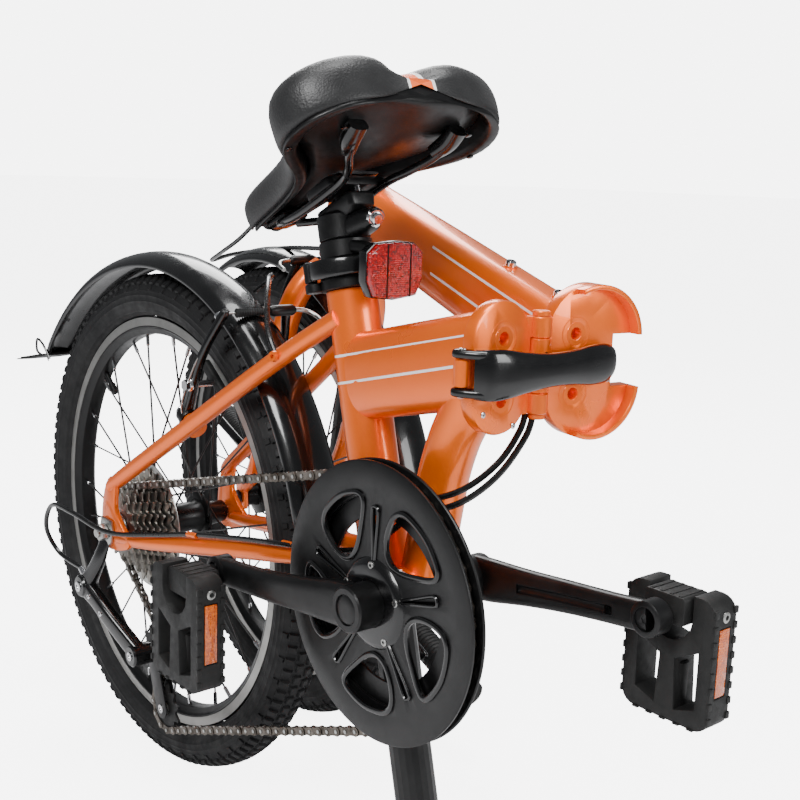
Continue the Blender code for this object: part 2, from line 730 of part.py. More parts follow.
def tangent(first, second):
    """Where a belt leaves one wheel and meets the next. A wheel is (centre, radius, turn), turn 1 or -1."""
    (c1, r1, s1), (c2, r2, s2) = first, second
    gap = c2 - c1
    heading = math.atan2(gap.y, gap.x) - math.asin((s2 * r2 - s1 * r1) / gap.length)
    normal = Vector((-math.sin(heading), math.cos(heading)))
    return c1 - normal * s1 * r1, c2 - normal * s2 * r2


def chain_path():
    wheels = [
        (Vector((BB.x, BB.z)), CHAINRING_PITCH_R, 1),
        (Vector((REAR_AXLE.x, REAR_AXLE.z)), SPROCKET_PITCH_R, 1),
        (Vector((JOCKEY_HIGH.x, JOCKEY_HIGH.z)), JOCKEY_PITCH_R, -1),
        (Vector((JOCKEY_LOW.x, JOCKEY_LOW.z)), JOCKEY_PITCH_R, 1),
    ]
    path = []
    for k, wheel in enumerate(wheels):
        arrive = tangent(wheels[k - 1], wheel)[1]
        leave = tangent(wheel, wheels[(k + 1) % len(wheels)])[0]
        centre, radius, turn = wheel
        start = math.atan2(*(arrive - centre).yx)
        sweep = (math.atan2(*(leave - centre).yx) - start) * turn % (2 * math.pi)
        steps = max(3, math.ceil(sweep / math.radians(16)))
        for step in range(steps + 1):
            angle = start + turn * sweep * step / steps
            point = centre + Vector((math.cos(angle), math.sin(angle))) * radius
            path.append(Vector((point.x, CHAIN_Y, point.y)))
    return path


def make_chain():
    stations = along_path(chain_path(), (CHAIN_HALF_WIDTH, CHAIN_HALF_HEIGHT), Y, closed=True)
    solid("chain", loft(SQUARE, stations, closed=True), "chain_metal")


def swirl_slots():
    """Five openings between the guard's arms, leaning with the swirl."""
    bm = bmesh.new()
    for k in range(5):
        turn = 72 * k + 20
        outer = arc((0, 0), 0.083, turn - 22, turn + 22, 7)
        inner = arc((0, 0), 0.036, turn + 14, turn - 30, 4)
        rows = []
        for y in (-0.060, -0.045):
            rows.append([bm.verts.new(BB + Vector((u, y, v))) for u, v in outer + inner])
        skin(bm, rows)
    return bm


def make_crankset(parent):
    solid("crank_spindle", rod(BB - Y * 0.070, BB + Y * 0.060, 0.0083, 16), "steel", parent)
    ring = [(-0.0440, 0.0660), (-0.0440, 0.0922), (-0.0418, 0.0922), (-0.0418, 0.0780), (-0.0395, 0.0780),
            (-0.0395, GUARD_R), (-0.0370, GUARD_R), (-0.0370, 0.0660)]
    solid("chainring", lathe(ring, BB, Y, 40), "black_paint", parent)
    guard = [(-0.0500, 0.0178), (-0.0500, GUARD_R), (-0.0470, GUARD_R), (-0.0470, 0.0178)]
    carve(solid("chain_guard", lathe(guard, BB, Y, 40), "black_plastic", parent), swirl_slots())
    for name, side, boss, plane in (("crank_arm_right", -1, (0.0460, 0.0760), 0.0760),
                                    ("crank_arm_left", 1, (0.0370, 0.0640), 0.0610)):
        out = crank_out(side)
        near = (boss[1] - 0.010) * side
        path = [BB + Y * near + out * 0.004, BB + Y * near + out * 0.020,
                BB + Y * (near + plane * side) / 2 + out * 0.060, BB + Y * plane * side + out * 0.110,
                BB + Y * plane * side + out * CRANK_LENGTH]
        sizes = [(0.0075, 0.0170), (0.0080, 0.0165), (0.0075, 0.0135), (0.0070, 0.0115), (0.0070, 0.0105)]
        arm = solid(name, loft(round_profile(12, 0.7), along_path(path, sizes, Y)), "black_paint", parent)
        eye = crank_eye(side, plane)
        join(arm, rod(BB + Y * boss[0] * side, BB + Y * boss[1] * side, 0.0172, 20))
        join(arm, rod(eye - Y * 0.0080, eye + Y * 0.0080, 0.0130, 16))
        carve(arm, rod(BB - Y * 0.0705, BB + Y * 0.0605, 0.0087, 16))


def crank_out(side):
    return (X * math.cos(CRANK_RISE) + Z * math.sin(CRANK_RISE)) * side


def crank_eye(side, plane):
    return BB + crank_out(side) * CRANK_LENGTH + Y * plane * side


RIGHT_EYE = crank_eye(-1, 0.0760)
LEFT_EYE = crank_eye(1, 0.0610)
PLATFORM_PIVOT_OUT = 0.0360
PLATFORM_PIVOT_Z = {-1: -0.003, 1: 0.005}


def platform_pivot(side):
    eye = RIGHT_EYE if side < 0 else LEFT_EYE
    return eye + Y * PLATFORM_PIVOT_OUT * side + Z * PLATFORM_PIVOT_Z[side]


def make_pedal(name, side, eye, body, platform):
    stub = rod(eye + Y * 0.0083 * side, eye + Y * 0.0160 * side, 0.0070, 12)
    obj = solid(name, stub, "black_plastic", body)
    pivot = platform_pivot(side)
    join(obj, block(eye + Vector((0, 0.0270 * side, PLATFORM_PIVOT_Z[side])), (0.0175, 0.0140, 0.0105)))
    low, high = -0.086, 0.012
    frame = solid(
        f"{name}_platform",
        block(pivot + Vector((0, -0.003 * side, (low + high) / 2)), (0.039, 0.0130, (high - low) / 2)),
        "black_plastic",
        platform,
    )
    carve(frame, block(pivot + Vector((0, -0.003 * side, 0.010)), (0.0180, 0.03, 0.024)))
    for x in (-0.018, 0.018):
        carve(frame, block(pivot + Vector((x, -0.003 * side, -0.050)), (0.013, 0.03, 0.022)))


# Derailleur

def make_derailleur(cage, high, low):
    hanger = [(-0.010, 0.240), (0.010, 0.240), (0.013, 0.262), (-0.013, 0.262)]
    body = solid(
        "derailleur_body",
        loft(hanger, [(Y * y, X, Z) for y in (-0.0724, -0.0693)]),
        "black_paint",
    )
    join(body, bar([(-0.003, -0.0709, 0.240), (-0.008, -0.0740, 0.220), (-0.029, -0.0780, 0.192)],
                   [(0.0012, 0.010), (0.004, 0.008), (0.006, 0.008)]))
    join(body, rod((-0.031, -0.0880, 0.187), (-0.031, -0.0700, 0.187), 0.0115, 14))
    join(body, bar([(-0.031, -0.0800, 0.187), (0.006, -0.0730, 0.163), (0.046, -0.0620, 0.135)],
                   [(0.007, 0.011), (0.007, 0.010), (0.007, 0.010)]))
    join(body, rod((0.046, -0.0720, 0.135), (0.046, -0.0493, 0.135), 0.0110, 14))
    carve(body, rod(REAR_AXLE - Y * 0.1, REAR_AXLE + Y * 0.1, 0.0052, 12))
    ends = (JOCKEY_HIGH, JOCKEY_LOW)
    plate = bar([JOCKEY_HIGH - Y * 0.0481, JOCKEY_LOW - Y * 0.0481], (0.0009, 0.0080))
    frame = solid("derailleur_cage", plate, "black_paint", cage)
    join(frame, bar([JOCKEY_HIGH - Y * 0.0375, JOCKEY_LOW - Y * 0.0375], (0.0009, 0.0080)))
    for end in ends:
        for y in (-0.0481, -0.0375):
            join(frame, rod(end + Y * (y - 0.00085), end + Y * (y + 0.00085), 0.0100, 14))
        join(frame, rod(end - Y * 0.0481, end - Y * 0.0375, 0.0025, 10))
    for name, centre, parent in (("jockey_wheel_upper", JOCKEY_HIGH, high), ("jockey_wheel_lower", JOCKEY_LOW, low)):
        wheel = pipe(centre - Y * 0.0446, centre - Y * 0.0410, 0.0180, 0.0029, 22)
        solid(name, wheel, "black_plastic", parent)


# Brakes

def brake_arm(name, boss, axis, up, rim_centre, side, parent):
    """An arm that turns on a boss, with the pad it presses on the rim's brake track."""
    reach = 0.102
    path = [boss - up * 0.008, boss + up * 0.030, boss + up * 0.070 - Y * side * 0.005,
            boss + up * reach - Y * side * 0.0085]
    sizes = [(0.0052, 0.0045), (0.0048, 0.0045), (0.0040, 0.0045), (0.0040, 0.0045)]
    arm = solid(name, bar(path, sizes, Y), "black_paint", parent)
    offset = boss - rim_centre
    flat = Vector((offset.x, 0, offset.z))
    rim_r = (RIM_OUTER_R + RIM_TRACK_R) / 2 - 0.001
    slope = up.dot(flat)
    distance = -slope + math.sqrt(slope ** 2 - flat.length_squared + rim_r ** 2)
    spot = flat + up * distance
    out = spot.normalized()
    centre = rim_centre + spot
    face = RIM_HALF_WIDTH + 0.0021
    pad = block(centre + Y * side * (face + 0.0050), (0.024, 0.0038, 0.0048), out.cross(Y), out)
    join(arm, pad)
    join(arm, rod(centre + Y * side * (face + 0.008), centre + Y * side * abs(boss.y), 0.0038, 10))
    carve(arm, rod(boss - axis * 0.03, boss + axis * 0.03, 0.0043, 12))
    return arm


FRONT_BOSS_T = 0.163
FRONT_BRAKE_AXIS = STEER_FORWARD


def front_boss(side):
    """Where a front brake arm turns: on the front of the fork blade."""
    return STEER_POINT + STEER_AXIS * FRONT_BOSS_T + STEER_FORWARD * 0.024 + Y * 0.0430 * side


# Front half, as ridden

def steer_at(along):
    return STEER_POINT + STEER_AXIS * along


def front_plate_outline():
    """In (y, z): a round lobe above and one below, wider than the rear plate on the latch side."""
    top = arc((-0.0105, HINGE_MID_Z + 0.017), 0.040, 22, 180, 16)
    bottom = arc((-0.0105, HINGE_MID_Z - 0.017), 0.040, 180, 338, 16)
    return top + bottom


def cup_wall(first, last, centre_z):
    """A stretch of the front plate's lip, which reaches back around the rear plate."""
    outline = arc((-0.0105, centre_z), 0.040, first, last, 10) + arc((-0.0105, centre_z), 0.0362, last, first, 10)
    return slab(outline, Vector((HINGE_X - 0.009, 0, 0)), Y, Z, 0.009 + 0.002)


def make_front_frame(parent):
    face = HINGE_X + GAP
    plate = slab(front_plate_outline(), Vector((face, 0, 0)), Y, Z, PLATE_THICKNESS - GAP)
    obj = solid("front_hinge_plate", plate, "orange_paint", parent)
    join(obj, cup_wall(66, 180, HINGE_MID_Z + 0.017), cup_wall(180, 294, HINGE_MID_Z - 0.017))
    low, high = FRONT_KNUCKLE
    join(obj, block((face + 0.005, 0.028, HINGE_MID_Z), (0.005, 0.008, (high - low) / 2)), knuckle(low, high))
    notch = block((HINGE_X, -0.043, HINGE_MID_Z), (0.030, 0.0125, 0.0195))
    corner = block((HINGE_X, 0.0390, HINGE_MID_Z + 0.060), (0.030, 0.0125, 0.040))
    carve(obj, notch, pin_bore(), corner)
    carve(obj, block((HINGE_X, 0.0390, HINGE_MID_Z - 0.060), (0.030, 0.0125, 0.040)))
    carve(obj, *locating_bores(0.004, HINGE_X - 0.012, HINGE_X + 0.007))
    start = Vector((HINGE_X + PLATE_THICKNESS + GAP, 0, 0.483))
    reach = 0.352
    end = start + X * reach + Z * reach * math.tan(FRONT_TUBE_SLOPE)
    tall = 1 / math.cos(FRONT_TUBE_SLOPE)
    stations = [
        (start, Y * 0.0215, Z * 0.031 * tall),
        ((start + end) / 2, Y * 0.0215, Z * 0.030 * tall),
        (end, Y * 0.0200, Z * 0.027 * tall),
    ]
    front_tube = solid("front_main_tube", loft(round_profile(20, 0.62), stations), "orange_paint", parent)
    carve(front_tube, rod(steer_at(0.2), steer_at(0.5), HEAD_TUBE_R + GAP, 24))
    solid("head_tube", pipe(steer_at(HEAD_LOW), steer_at(HEAD_HIGH), HEAD_TUBE_R, HEAD_BORE_R, 24),
          "orange_paint", parent)


def post_block(low, high, out_low, out_high, half_across, shift=0.0):
    """A block of the handlepost hinge, between two heights on the steering axis."""
    centre = steer_at((low + high) / 2) + POST_OUT * (out_low + out_high) / 2 + POST_ACROSS * shift
    return block(centre, ((out_high - out_low) / 2, half_across, (high - low) / 2), POST_OUT, POST_ACROSS)


def post_barrel(first, last):
    centre = steer_at(POST_HINGE_T) + POST_OUT * POST_HINGE_OUT
    return rod(centre + POST_ACROSS * first, centre + POST_ACROSS * last, 0.0068, 14)


def make_fork(parent):
    low, high = HEAD_LOW - 0.014, HEAD_HIGH + GAP
    crown_top = HEAD_LOW - GAP
    profile = [(low, 0), (low, 0.0205), (crown_top, 0.0205), (crown_top, 0.0145), (high, 0.0145), (high, 0.0200),
               (0.412, 0.0200), (0.412, 0)]
    steerer = solid("fork_steerer", lathe(profile, STEER_POINT, STEER_AXIS, 20), "orange_paint", parent)
    top = POST_HINGE_T - GAP
    join(steerer, post_block(0.404, top, -0.020, 0.0265, 0.0195))
    for side in (-1, 1):
        join(steerer, post_block(0.405, top, 0.020, POST_HINGE_OUT, 0.0055, side * 0.0140))
        ends = sorted((side * 0.0085, side * 0.0195))
        join(steerer, post_barrel(*ends))
    for name, side in (("fork_blade_right", -1), ("fork_blade_left", 1)):
        path = [steer_at(0.2745) + Y * 0.020 * side, steer_at(0.262) + Y * 0.035 * side,
                steer_at(0.240) + Y * 0.0465 * side, steer_at(0.205) + Y * 0.0520 * side,
                steer_at(0.110) + Y * 0.0530 * side + STEER_FORWARD * 0.002,
                steer_at(0.040) + Y * 0.0530 * side + STEER_FORWARD * 0.012,
                FRONT_AXLE + Y * 0.0525 * side + Vector((-0.006, 0, 0.012))]
        radii = [0.0120, 0.0125, 0.0125, 0.0125, 0.0115, 0.0095, 0.0070]
        blade = solid(name, tube(path, radii, STEER_FORWARD, 12), "orange_paint", parent)
        tip = block(FRONT_AXLE + Y * 0.0525 * side + Vector((-0.001, 0, 0.001)), (0.010, 0.0024, 0.014))
        boss = front_boss(side)
        join(blade, tip, rod(boss - FRONT_BRAKE_AXIS * 0.0200, boss - FRONT_BRAKE_AXIS * 0.0062, 0.0070, 12))
        join(blade, rod(boss - FRONT_BRAKE_AXIS * 0.0070, boss + FRONT_BRAKE_AXIS * 0.0060, 0.0040, 12))
        carve(blade, rod(FRONT_AXLE - Y * 0.1, FRONT_AXLE + Y * 0.1, 0.0052, 12))
        carve(blade, rod(steer_at(0.2), steer_at(0.45), 0.0208, 24))
    nut = 0.0080
    axle = [(-0.0630, 0), (-0.0630, 0.0045), (-0.0612, 0.0045), (-0.0612, nut), (-0.0553, nut), (-0.0553, 0.0048),
            (0.0553, 0.0048), (0.0553, nut), (0.0612, nut), (0.0612, 0.0045), (0.0630, 0.0045), (0.0630, 0)]
    solid("front_axle", lathe(axle, FRONT_AXLE, Y, 12), "steel", parent)
    solid("front_fender", fender(FRONT_AXLE, 62, 186, 22, 0.0), "black_plastic", parent)


def make_front_wheel(parent):
    make_tyre("front_tyre", FRONT_AXLE, parent)
    make_rim("front_rim", FRONT_AXLE, parent)
    bore = 0.0053
    profile = [(-0.0490, bore), (-0.0490, 0.0110), (-0.0345, 0.0120), (-0.0345, 0.0220), (-0.0310, 0.0220),
               (-0.0310, 0.0130), (0.0310, 0.0130), (0.0310, 0.0220), (0.0345, 0.0220), (0.0345, 0.0120),
               (0.0490, 0.0110), (0.0490, bore)]
    make_hub("front_hub", FRONT_AXLE, profile, ((-0.03275, 0), (0.03275, 1)), parent)


def make_handlepost(fold, slide):
    base = POST_HINGE_T + GAP
    post = solid("handlepost_outer", pipe(steer_at(base + 0.006), steer_at(0.700), 0.0165, 0.0134, 20), "black_paint", fold)
    join(post, post_block(base, 0.436, -0.020, 0.0265, 0.0180))
    join(post, post_block(base, 0.431, 0.020, POST_HINGE_OUT, 0.0080), post_barrel(-0.0080, 0.0080))
    carve(post, rod(steer_at(base + 0.010), steer_at(0.75), 0.0133, 20))
    inner = pipe(steer_at(0.590), steer_at(BAR_T - 0.004), 0.0127, 0.0108, 20)
    inner_post = solid("handlepost_inner", inner, "black_paint", slide)
    join(inner_post, rod(steer_at(BAR_T) - Y * 0.0200, steer_at(BAR_T) + Y * 0.0200, 0.0190, 20))
    carve(inner_post, rod(steer_at(BAR_T) - Y * 0.05, steer_at(BAR_T) + Y * 0.05, 0.0130, 20))
    grip, tube_r, reach = 0.0160, 0.0127, BAR_HALF_LENGTH
    profile = [(-reach, 0), (-reach, grip), (-0.180, grip), (-0.180, tube_r), (0.180, tube_r), (0.180, grip),
               (reach, grip), (reach, 0)]
    solid("handlebar", lathe(profile, steer_at(BAR_T), Y, 18), "black_paint", slide)


def lever_pivot(side):
    return steer_at(BAR_T) + Y * 0.150 * side + lever_forward() * 0.026


def lever_forward():
    """The way the brake levers point from the bar, forward and down."""
    return (STEER_FORWARD * 0.75 - STEER_AXIS * 0.66).normalized()


def lever_axis():
    return lever_forward().cross(Y)


def make_brake_levers(parents):
    for name, side in (("brake_lever_right", -1), ("brake_lever_left", 1)):
        pivot = lever_pivot(side)
        ahead = lever_forward()
        path = [pivot, pivot + ahead * 0.014 + Y * 0.020 * side, pivot + ahead * 0.020 + Y * 0.060 * side,
                pivot + ahead * 0.022 + Y * 0.110 * side]
        lever = solid(name, bar(path, (0.0055, 0.0035), lever_axis()), "black_plastic", parents[side])
        join(lever, rod(pivot - lever_axis() * 0.0065, pivot + lever_axis() * 0.0065, 0.0075, 12))


# Assembly

def build():
    clear_scene()
    make_seat_tube()
    make_main_tube()
    make_rear_hinge_plate()
    make_lower_strut()
    make_chainstays()
    make_seatstays()
    make_rear_fender()
    make_rear_axle()
    make_chain()

    make_seat_clamp(joint_empty("joint_seat_lever", clamp_point(LEVER_PIVOT_TURN, 0.031, CLAMP_LOW)))
    seatpost = joint_empty("joint_seatpost", seat_at(0))
    make_seatpost(seatpost)
    head = joint_empty("joint_saddle_turn", seat_at(0.30), parent=seatpost)
    make_rear_reflector(head)
    make_saddle_clamp(head)
    make_saddle(joint_empty("joint_saddle_tilt", SADDLE_PIVOT, parent=head))

    wheel = joint_empty("joint_rear_wheel", REAR_AXLE)
    make_rear_wheel(wheel)
    make_freewheel(joint_empty("joint_freewheel", REAR_AXLE))
    cage = joint_empty("joint_cage", JOCKEY_HIGH)
    make_derailleur(
        cage,
        joint_empty("joint_jockey_upper", JOCKEY_HIGH, parent=cage),
        joint_empty("joint_jockey_lower", JOCKEY_LOW, parent=cage),
    )
    for name, side in (("rear_brake_arm_right", -1), ("rear_brake_arm_left", 1)):
        boss = brake_boss(side)
        up = (BRAKE_AXIS.cross(Y) * -1).normalized()
        brake_arm(name, boss, BRAKE_AXIS, up, REAR_AXLE, side, joint_empty(f"joint_{name}", boss))

    crank = joint_empty("joint_crank", BB)
    make_crankset(crank)
    for name, side, eye in (("pedal_right", -1, RIGHT_EYE), ("pedal_left", 1, LEFT_EYE)):
        body = joint_empty(f"joint_{name}", eye, parent=crank)
        platform = joint_empty(f"joint_{name}_platform", platform_pivot(side), parent=body)
        make_pedal(name, side, eye, body, platform)

    make_latch(joint_empty("joint_latch", LATCH_PIVOT))
    fold = joint_empty("joint_fold", HINGE_PIN, Z, FOLD_ANGLE)
    make_front_frame(fold)
    steer = joint_empty("joint_steer", STEER_POINT, STEER_AXIS, STEER_TURN, fold)
    make_fork(steer)
    make_front_wheel(joint_empty("joint_front_wheel", FRONT_AXLE, parent=steer))
    for name, side in (("front_brake_arm_right", -1), ("front_brake_arm_left", 1)):
        boss = front_boss(side)
        arm = joint_empty(f"joint_{name}", boss, parent=steer)
        brake_arm(name, boss, FRONT_BRAKE_AXIS, STEER_AXIS, FRONT_AXLE, side, arm)
    post_pin = steer_at(POST_HINGE_T) + POST_OUT * POST_HINGE_OUT
    post = joint_empty("joint_handlepost", post_pin, POST_FOLD_AXIS, POST_FOLD, steer)
    slide = joint_empty("joint_post_slide", steer_at(0.700), parent=post)
    make_handlepost(post, slide)
    levers = {side: joint_empty(f"joint_brake_lever_{side}", lever_pivot(side), parent=slide) for side in (-1, 1)}
    make_brake_levers(levers)


build()
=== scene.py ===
import math

import bmesh
import bpy
from mathutils import Matrix, Vector
from mathutils.bvhtree import BVHTree


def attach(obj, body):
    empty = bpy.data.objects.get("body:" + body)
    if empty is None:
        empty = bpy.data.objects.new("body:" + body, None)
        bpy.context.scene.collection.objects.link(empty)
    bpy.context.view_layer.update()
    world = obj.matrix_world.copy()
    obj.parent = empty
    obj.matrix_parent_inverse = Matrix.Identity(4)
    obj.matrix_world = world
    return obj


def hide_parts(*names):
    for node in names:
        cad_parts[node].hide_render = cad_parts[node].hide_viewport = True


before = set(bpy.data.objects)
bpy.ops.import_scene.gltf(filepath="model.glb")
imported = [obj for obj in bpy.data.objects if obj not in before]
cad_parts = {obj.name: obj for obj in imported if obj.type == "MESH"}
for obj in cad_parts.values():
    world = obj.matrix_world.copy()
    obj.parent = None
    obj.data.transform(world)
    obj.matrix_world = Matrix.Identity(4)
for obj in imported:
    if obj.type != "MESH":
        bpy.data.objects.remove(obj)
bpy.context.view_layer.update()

X = Vector((1, 0, 0))
Y = Vector((0, 1, 0))
Z = Vector((0, 0, 1))

# Air left between a hinge plate and what meets it
HINGE_GAP = 0.0003

# Camera: place in metres, its right and up directions, lens in millimetres
CAMERA_AT = (1.03706, -0.58075, 0.60865)
CAMERA_RIGHT = Vector((0.64257, 0.76552, 0.03279))
CAMERA_UP = Vector((-0.16685, 0.09803, 0.98110))
LENS_MM = 53.49

# Sizes shared with the CAD, in metres
WHEEL_R = 0.250
TYRE_CENTRE_R = 0.2265
RIM_OUTER_R = 0.2075
RIM_TRACK_R = 0.197
RIM_INNER_R = 0.190
RIM_HALF_WIDTH = 0.0125
SPOKES = 28
REAR_AXLE = Vector((0, 0, WHEEL_R))
FRONT_AXLE = Vector((0.974, 0, WHEEL_R))
BB = Vector((0.3896, 0, 0.2919))
SEAT_ANGLE = math.radians(75.75)
SEAT_AXIS = Vector((-math.cos(SEAT_ANGLE), 0, math.sin(SEAT_ANGLE)))
SEAT_POINT = Vector((0.3463, 0, 0.2919))
MAIN_TUBE_SLOPE = math.radians(13.5)
HINGE_X = 0.463
HINGE_PIN = Vector((HINGE_X, 0.036, 0))
HINGE_MID_Z = 0.475
PLATE_THICKNESS = 0.0125
LATCH_PIVOT = Vector((0.4615, -0.0375, HINGE_MID_Z))
STEER_POINT = Vector((0.937, 0, WHEEL_R))
HEAD_ANGLE = math.radians(72)
STEER_AXIS = Vector((-math.cos(HEAD_ANGLE), 0, math.sin(HEAD_ANGLE)))
STEER_FORWARD = Vector((math.sin(HEAD_ANGLE), 0, math.cos(HEAD_ANGLE)))
POST_HINGE_T = 0.4183
POST_OUT = (STEER_FORWARD - Y).normalized()
POST_ACROSS = (STEER_FORWARD + Y).normalized()
POST_FOLD_AXIS = (POST_ACROSS - 0.023 * STEER_AXIS).normalized()
BAR_T = 0.945
CHAIN_Y = -0.0428
CHAINRING_PITCH_R = 0.0971
GUARD_R = 0.1075
SPROCKET_PITCH_R = 0.0404
JOCKEY_PITCH_R = 0.0225
JOCKEY_HIGH = Vector((0.046, 0, 0.135))
JOCKEY_LOW = Vector((0.066, 0, 0.082))
CHAIN_PITCH = 0.0127
CRANK_LENGTH = 0.170
CRANK_OUT = X * math.cos(math.radians(6)) + Z * math.sin(math.radians(6))
SADDLE_NOSE = Vector((0.1515, 0, 0.5626))
SADDLE_TILT = math.radians(26.3)
SADDLE_ALONG = Vector((math.cos(SADDLE_TILT), 0, math.sin(SADDLE_TILT)))
SADDLE_UP = Vector((-math.sin(SADDLE_TILT), 0, math.cos(SADDLE_TILT)))


def steer_at(along):
    return STEER_POINT + STEER_AXIS * along


def turned(point, axis, degrees):
    """The turn about an axis through a point."""
    turn = Matrix.Rotation(math.radians(degrees), 4, Vector(axis))
    return Matrix.Translation(point) @ turn @ Matrix.Translation(-Vector(point))


# The front half is modelled as ridden, and these put it in its folded place.
HOME = Matrix.Identity(4)
FOLD = turned(HINGE_PIN, Z, 169.5)
STEER = FOLD @ turned(STEER_POINT, STEER_AXIS, 4.8)
POST = STEER @ turned(steer_at(POST_HINGE_T) + POST_OUT * 0.035, POST_FOLD_AXIS, 176.5)


# Materials

def shader_of(name):
    made = bpy.data.materials.new(name)
    made.use_nodes = True
    return made, made.node_tree, made.node_tree.nodes["Principled BSDF"]


def place_coords(tree):
    return tree.nodes.new("ShaderNodeTexCoord").outputs["Object"]


def noise(tree, coords, scale, detail=4.0, roughness=0.55):
    node = tree.nodes.new("ShaderNodeTexNoise")
    node.inputs["Scale"].default_value = scale
    node.inputs["Detail"].default_value = detail
    node.inputs["Roughness"].default_value = roughness
    tree.links.new(coords, node.inputs["Vector"])
    return node.outputs["Fac"]


def spread(tree, value, low, high, first=0.3, last=0.7):
    """Maps a value between two others, clamped."""
    node = tree.nodes.new("ShaderNodeMapRange")
    for name, number in (("From Min", first), ("From Max", last), ("To Min", low), ("To Max", high)):
        node.inputs[name].default_value = number
    tree.links.new(value, node.inputs["Value"])
    return node.outputs["Result"]


def blend_colours(tree, factor, first, second):
    """Mixes two colours, each a tuple or another node's output."""
    node = tree.nodes.new("ShaderNodeMix")
    node.data_type = "RGBA"
    tree.links.new(factor, node.inputs["Factor"])
    for socket, colour in (("A", first), ("B", second)):
        target = [s for s in node.inputs if s.name == socket and s.type == "RGBA"][0]
        if isinstance(colour, tuple):
            target.default_value = (*colour, 1)
        else:
            tree.links.new(colour, target)
    return [s for s in node.outputs if s.type == "RGBA"][0]


def bump(tree, shader, heights):
    """Chains bumps, each a height output and how deep it is in metres."""
    last = None
    for height, depth in heights:
        node = tree.nodes.new("ShaderNodeBump")
        node.inputs["Strength"].default_value = 1.0
        node.inputs["Distance"].default_value = depth
        tree.links.new(height, node.inputs["Height"])
        if last:
            tree.links.new(last, node.inputs["Normal"])
        last = node.outputs["Normal"]
    tree.links.new(last, shader.inputs["Normal"])


def grained(name, dark, light, rough, scale, grain, depth, metallic=0.0, coat=0.0):
    """Mottled colour, uneven gloss and a fine grain, for most moulded, painted and metal finishes."""
    made, tree, shader = shader_of(name)
    coords = place_coords(tree)
    broad = noise(tree, coords, scale)
    fine = noise(tree, coords, grain, 3.0)
    tree.links.new(blend_colours(tree, spread(tree, broad, 0, 1), dark, light), shader.inputs["Base Color"])
    tree.links.new(spread(tree, noise(tree, coords, scale * 2.3), *rough), shader.inputs["Roughness"])
    shader.inputs["Metallic"].default_value = metallic
    shader.inputs["Specular IOR Level"].default_value = 0.36
    shader.inputs["Coat Weight"].default_value = coat
    shader.inputs["Coat Roughness"].default_value = 0.04
    bump(tree, shader, [(fine, depth)])
    return made


def orange_paint():
    """Pearl paint: fine flakes under a clear coat, with a faint orange peel; a painted glint turns some
    flakes a lighter orange in the base colour.
    """
    made, tree, shader = shader_of("orange_pearl_paint")
    coords = place_coords(tree)
    flakes = tree.nodes.new("ShaderNodeTexVoronoi")
    flakes.inputs["Scale"].default_value = 2600
    tree.links.new(coords, flakes.inputs["Vector"])
    flake_glint = tree.nodes.new("ShaderNodeSeparateColor")
    tree.links.new(flakes.outputs["Color"], flake_glint.inputs["Color"])
    base = blend_colours(tree, spread(tree, noise(tree, coords, 9), 0, 1), (0.98, 0.135, 0.0005),
                         (1.0, 0.165, 0.001))
    # Painted glint: flakes picked by their random colour are mixed towards a lighter orange in the base
    # colour.
    lit = blend_colours(tree, spread(tree, flake_glint.outputs["Red"], 0, 0.20, 0.55, 1.0), base,
                        (1.0, 0.26, 0.006))
    tree.links.new(lit, shader.inputs["Base Color"])
    tree.links.new(spread(tree, noise(tree, coords, 14), 0.27, 0.33), shader.inputs["Roughness"])
    shader.inputs["Metallic"].default_value = 0.50
    shader.inputs["Coat Weight"].default_value = 0.45
    shader.inputs["Coat Roughness"].default_value = 0.04
    bump(tree, shader, [(noise(tree, coords, 160, 1.0), 0.00002)])
    return made


def tyre_rubber():
    made, tree, shader = shader_of("tyre_rubber")
    coords = place_coords(tree)
    dust = spread(tree, noise(tree, coords, 28, 6), 0, 1, 0.42, 0.75)
    tree.links.new(blend_colours(tree, dust, (0.0040, 0.0040, 0.0045), (0.0110, 0.0110, 0.0110)),
                   shader.inputs["Base Color"])
    tree.links.new(spread(tree, noise(tree, coords, 70), 0.55, 0.80), shader.inputs["Roughness"])
    shader.inputs["Specular IOR Level"].default_value = 0.35
    bump(tree, shader, [(noise(tree, coords, 900, 4), 0.00012), (noise(tree, coords, 120, 3), 0.0002)])
    return made


def turned_metal(name, dark, light, rough, rings):
    """Metal finished on a lathe: fine rings about the piece's own Y axis."""
    made, tree, shader = shader_of(name)
    coords = place_coords(tree)
    lines = tree.nodes.new("ShaderNodeTexWave")
    lines.wave_type = "RINGS"
    lines.rings_direction = "Y"
    lines.inputs["Scale"].default_value = rings
    lines.inputs["Distortion"].default_value = 3.0
    lines.inputs["Detail"].default_value = 3.0
    lines.inputs["Detail Scale"].default_value = 2.0
    tree.links.new(coords, lines.inputs["Vector"])
    wear = noise(tree, coords, 40)
    colour = blend_colours(tree, spread(tree, wear, 0, 1), dark, light)
    tree.links.new(colour, shader.inputs["Base Color"])
    tree.links.new(spread(tree, lines.outputs["Fac"], *rough, 0, 1), shader.inputs["Roughness"])
    shader.inputs["Metallic"].default_value = 1.0
    bump(tree, shader, [(lines.outputs["Fac"], 0.00005)])
    return made


def chain_metal():
    """Oiled steel with brown grime in the hollows."""
    made, tree, shader = shader_of("chain_metal")
    coords = place_coords(tree)
    grime = spread(tree, noise(tree, coords, 120, 5), 0, 1, 0.35, 0.65)
    tree.links.new(blend_colours(tree, grime, (0.17, 0.15, 0.13), (0.055, 0.044, 0.034)),
                   shader.inputs["Base Color"])
    tree.links.new(spread(tree, grime, 0.26, 0.50, 0, 1), shader.inputs["Roughness"])
    shader.inputs["Metallic"].default_value = 0.95
    bump(tree, shader, [(noise(tree, coords, 1500, 2), 0.00003)])
    return made


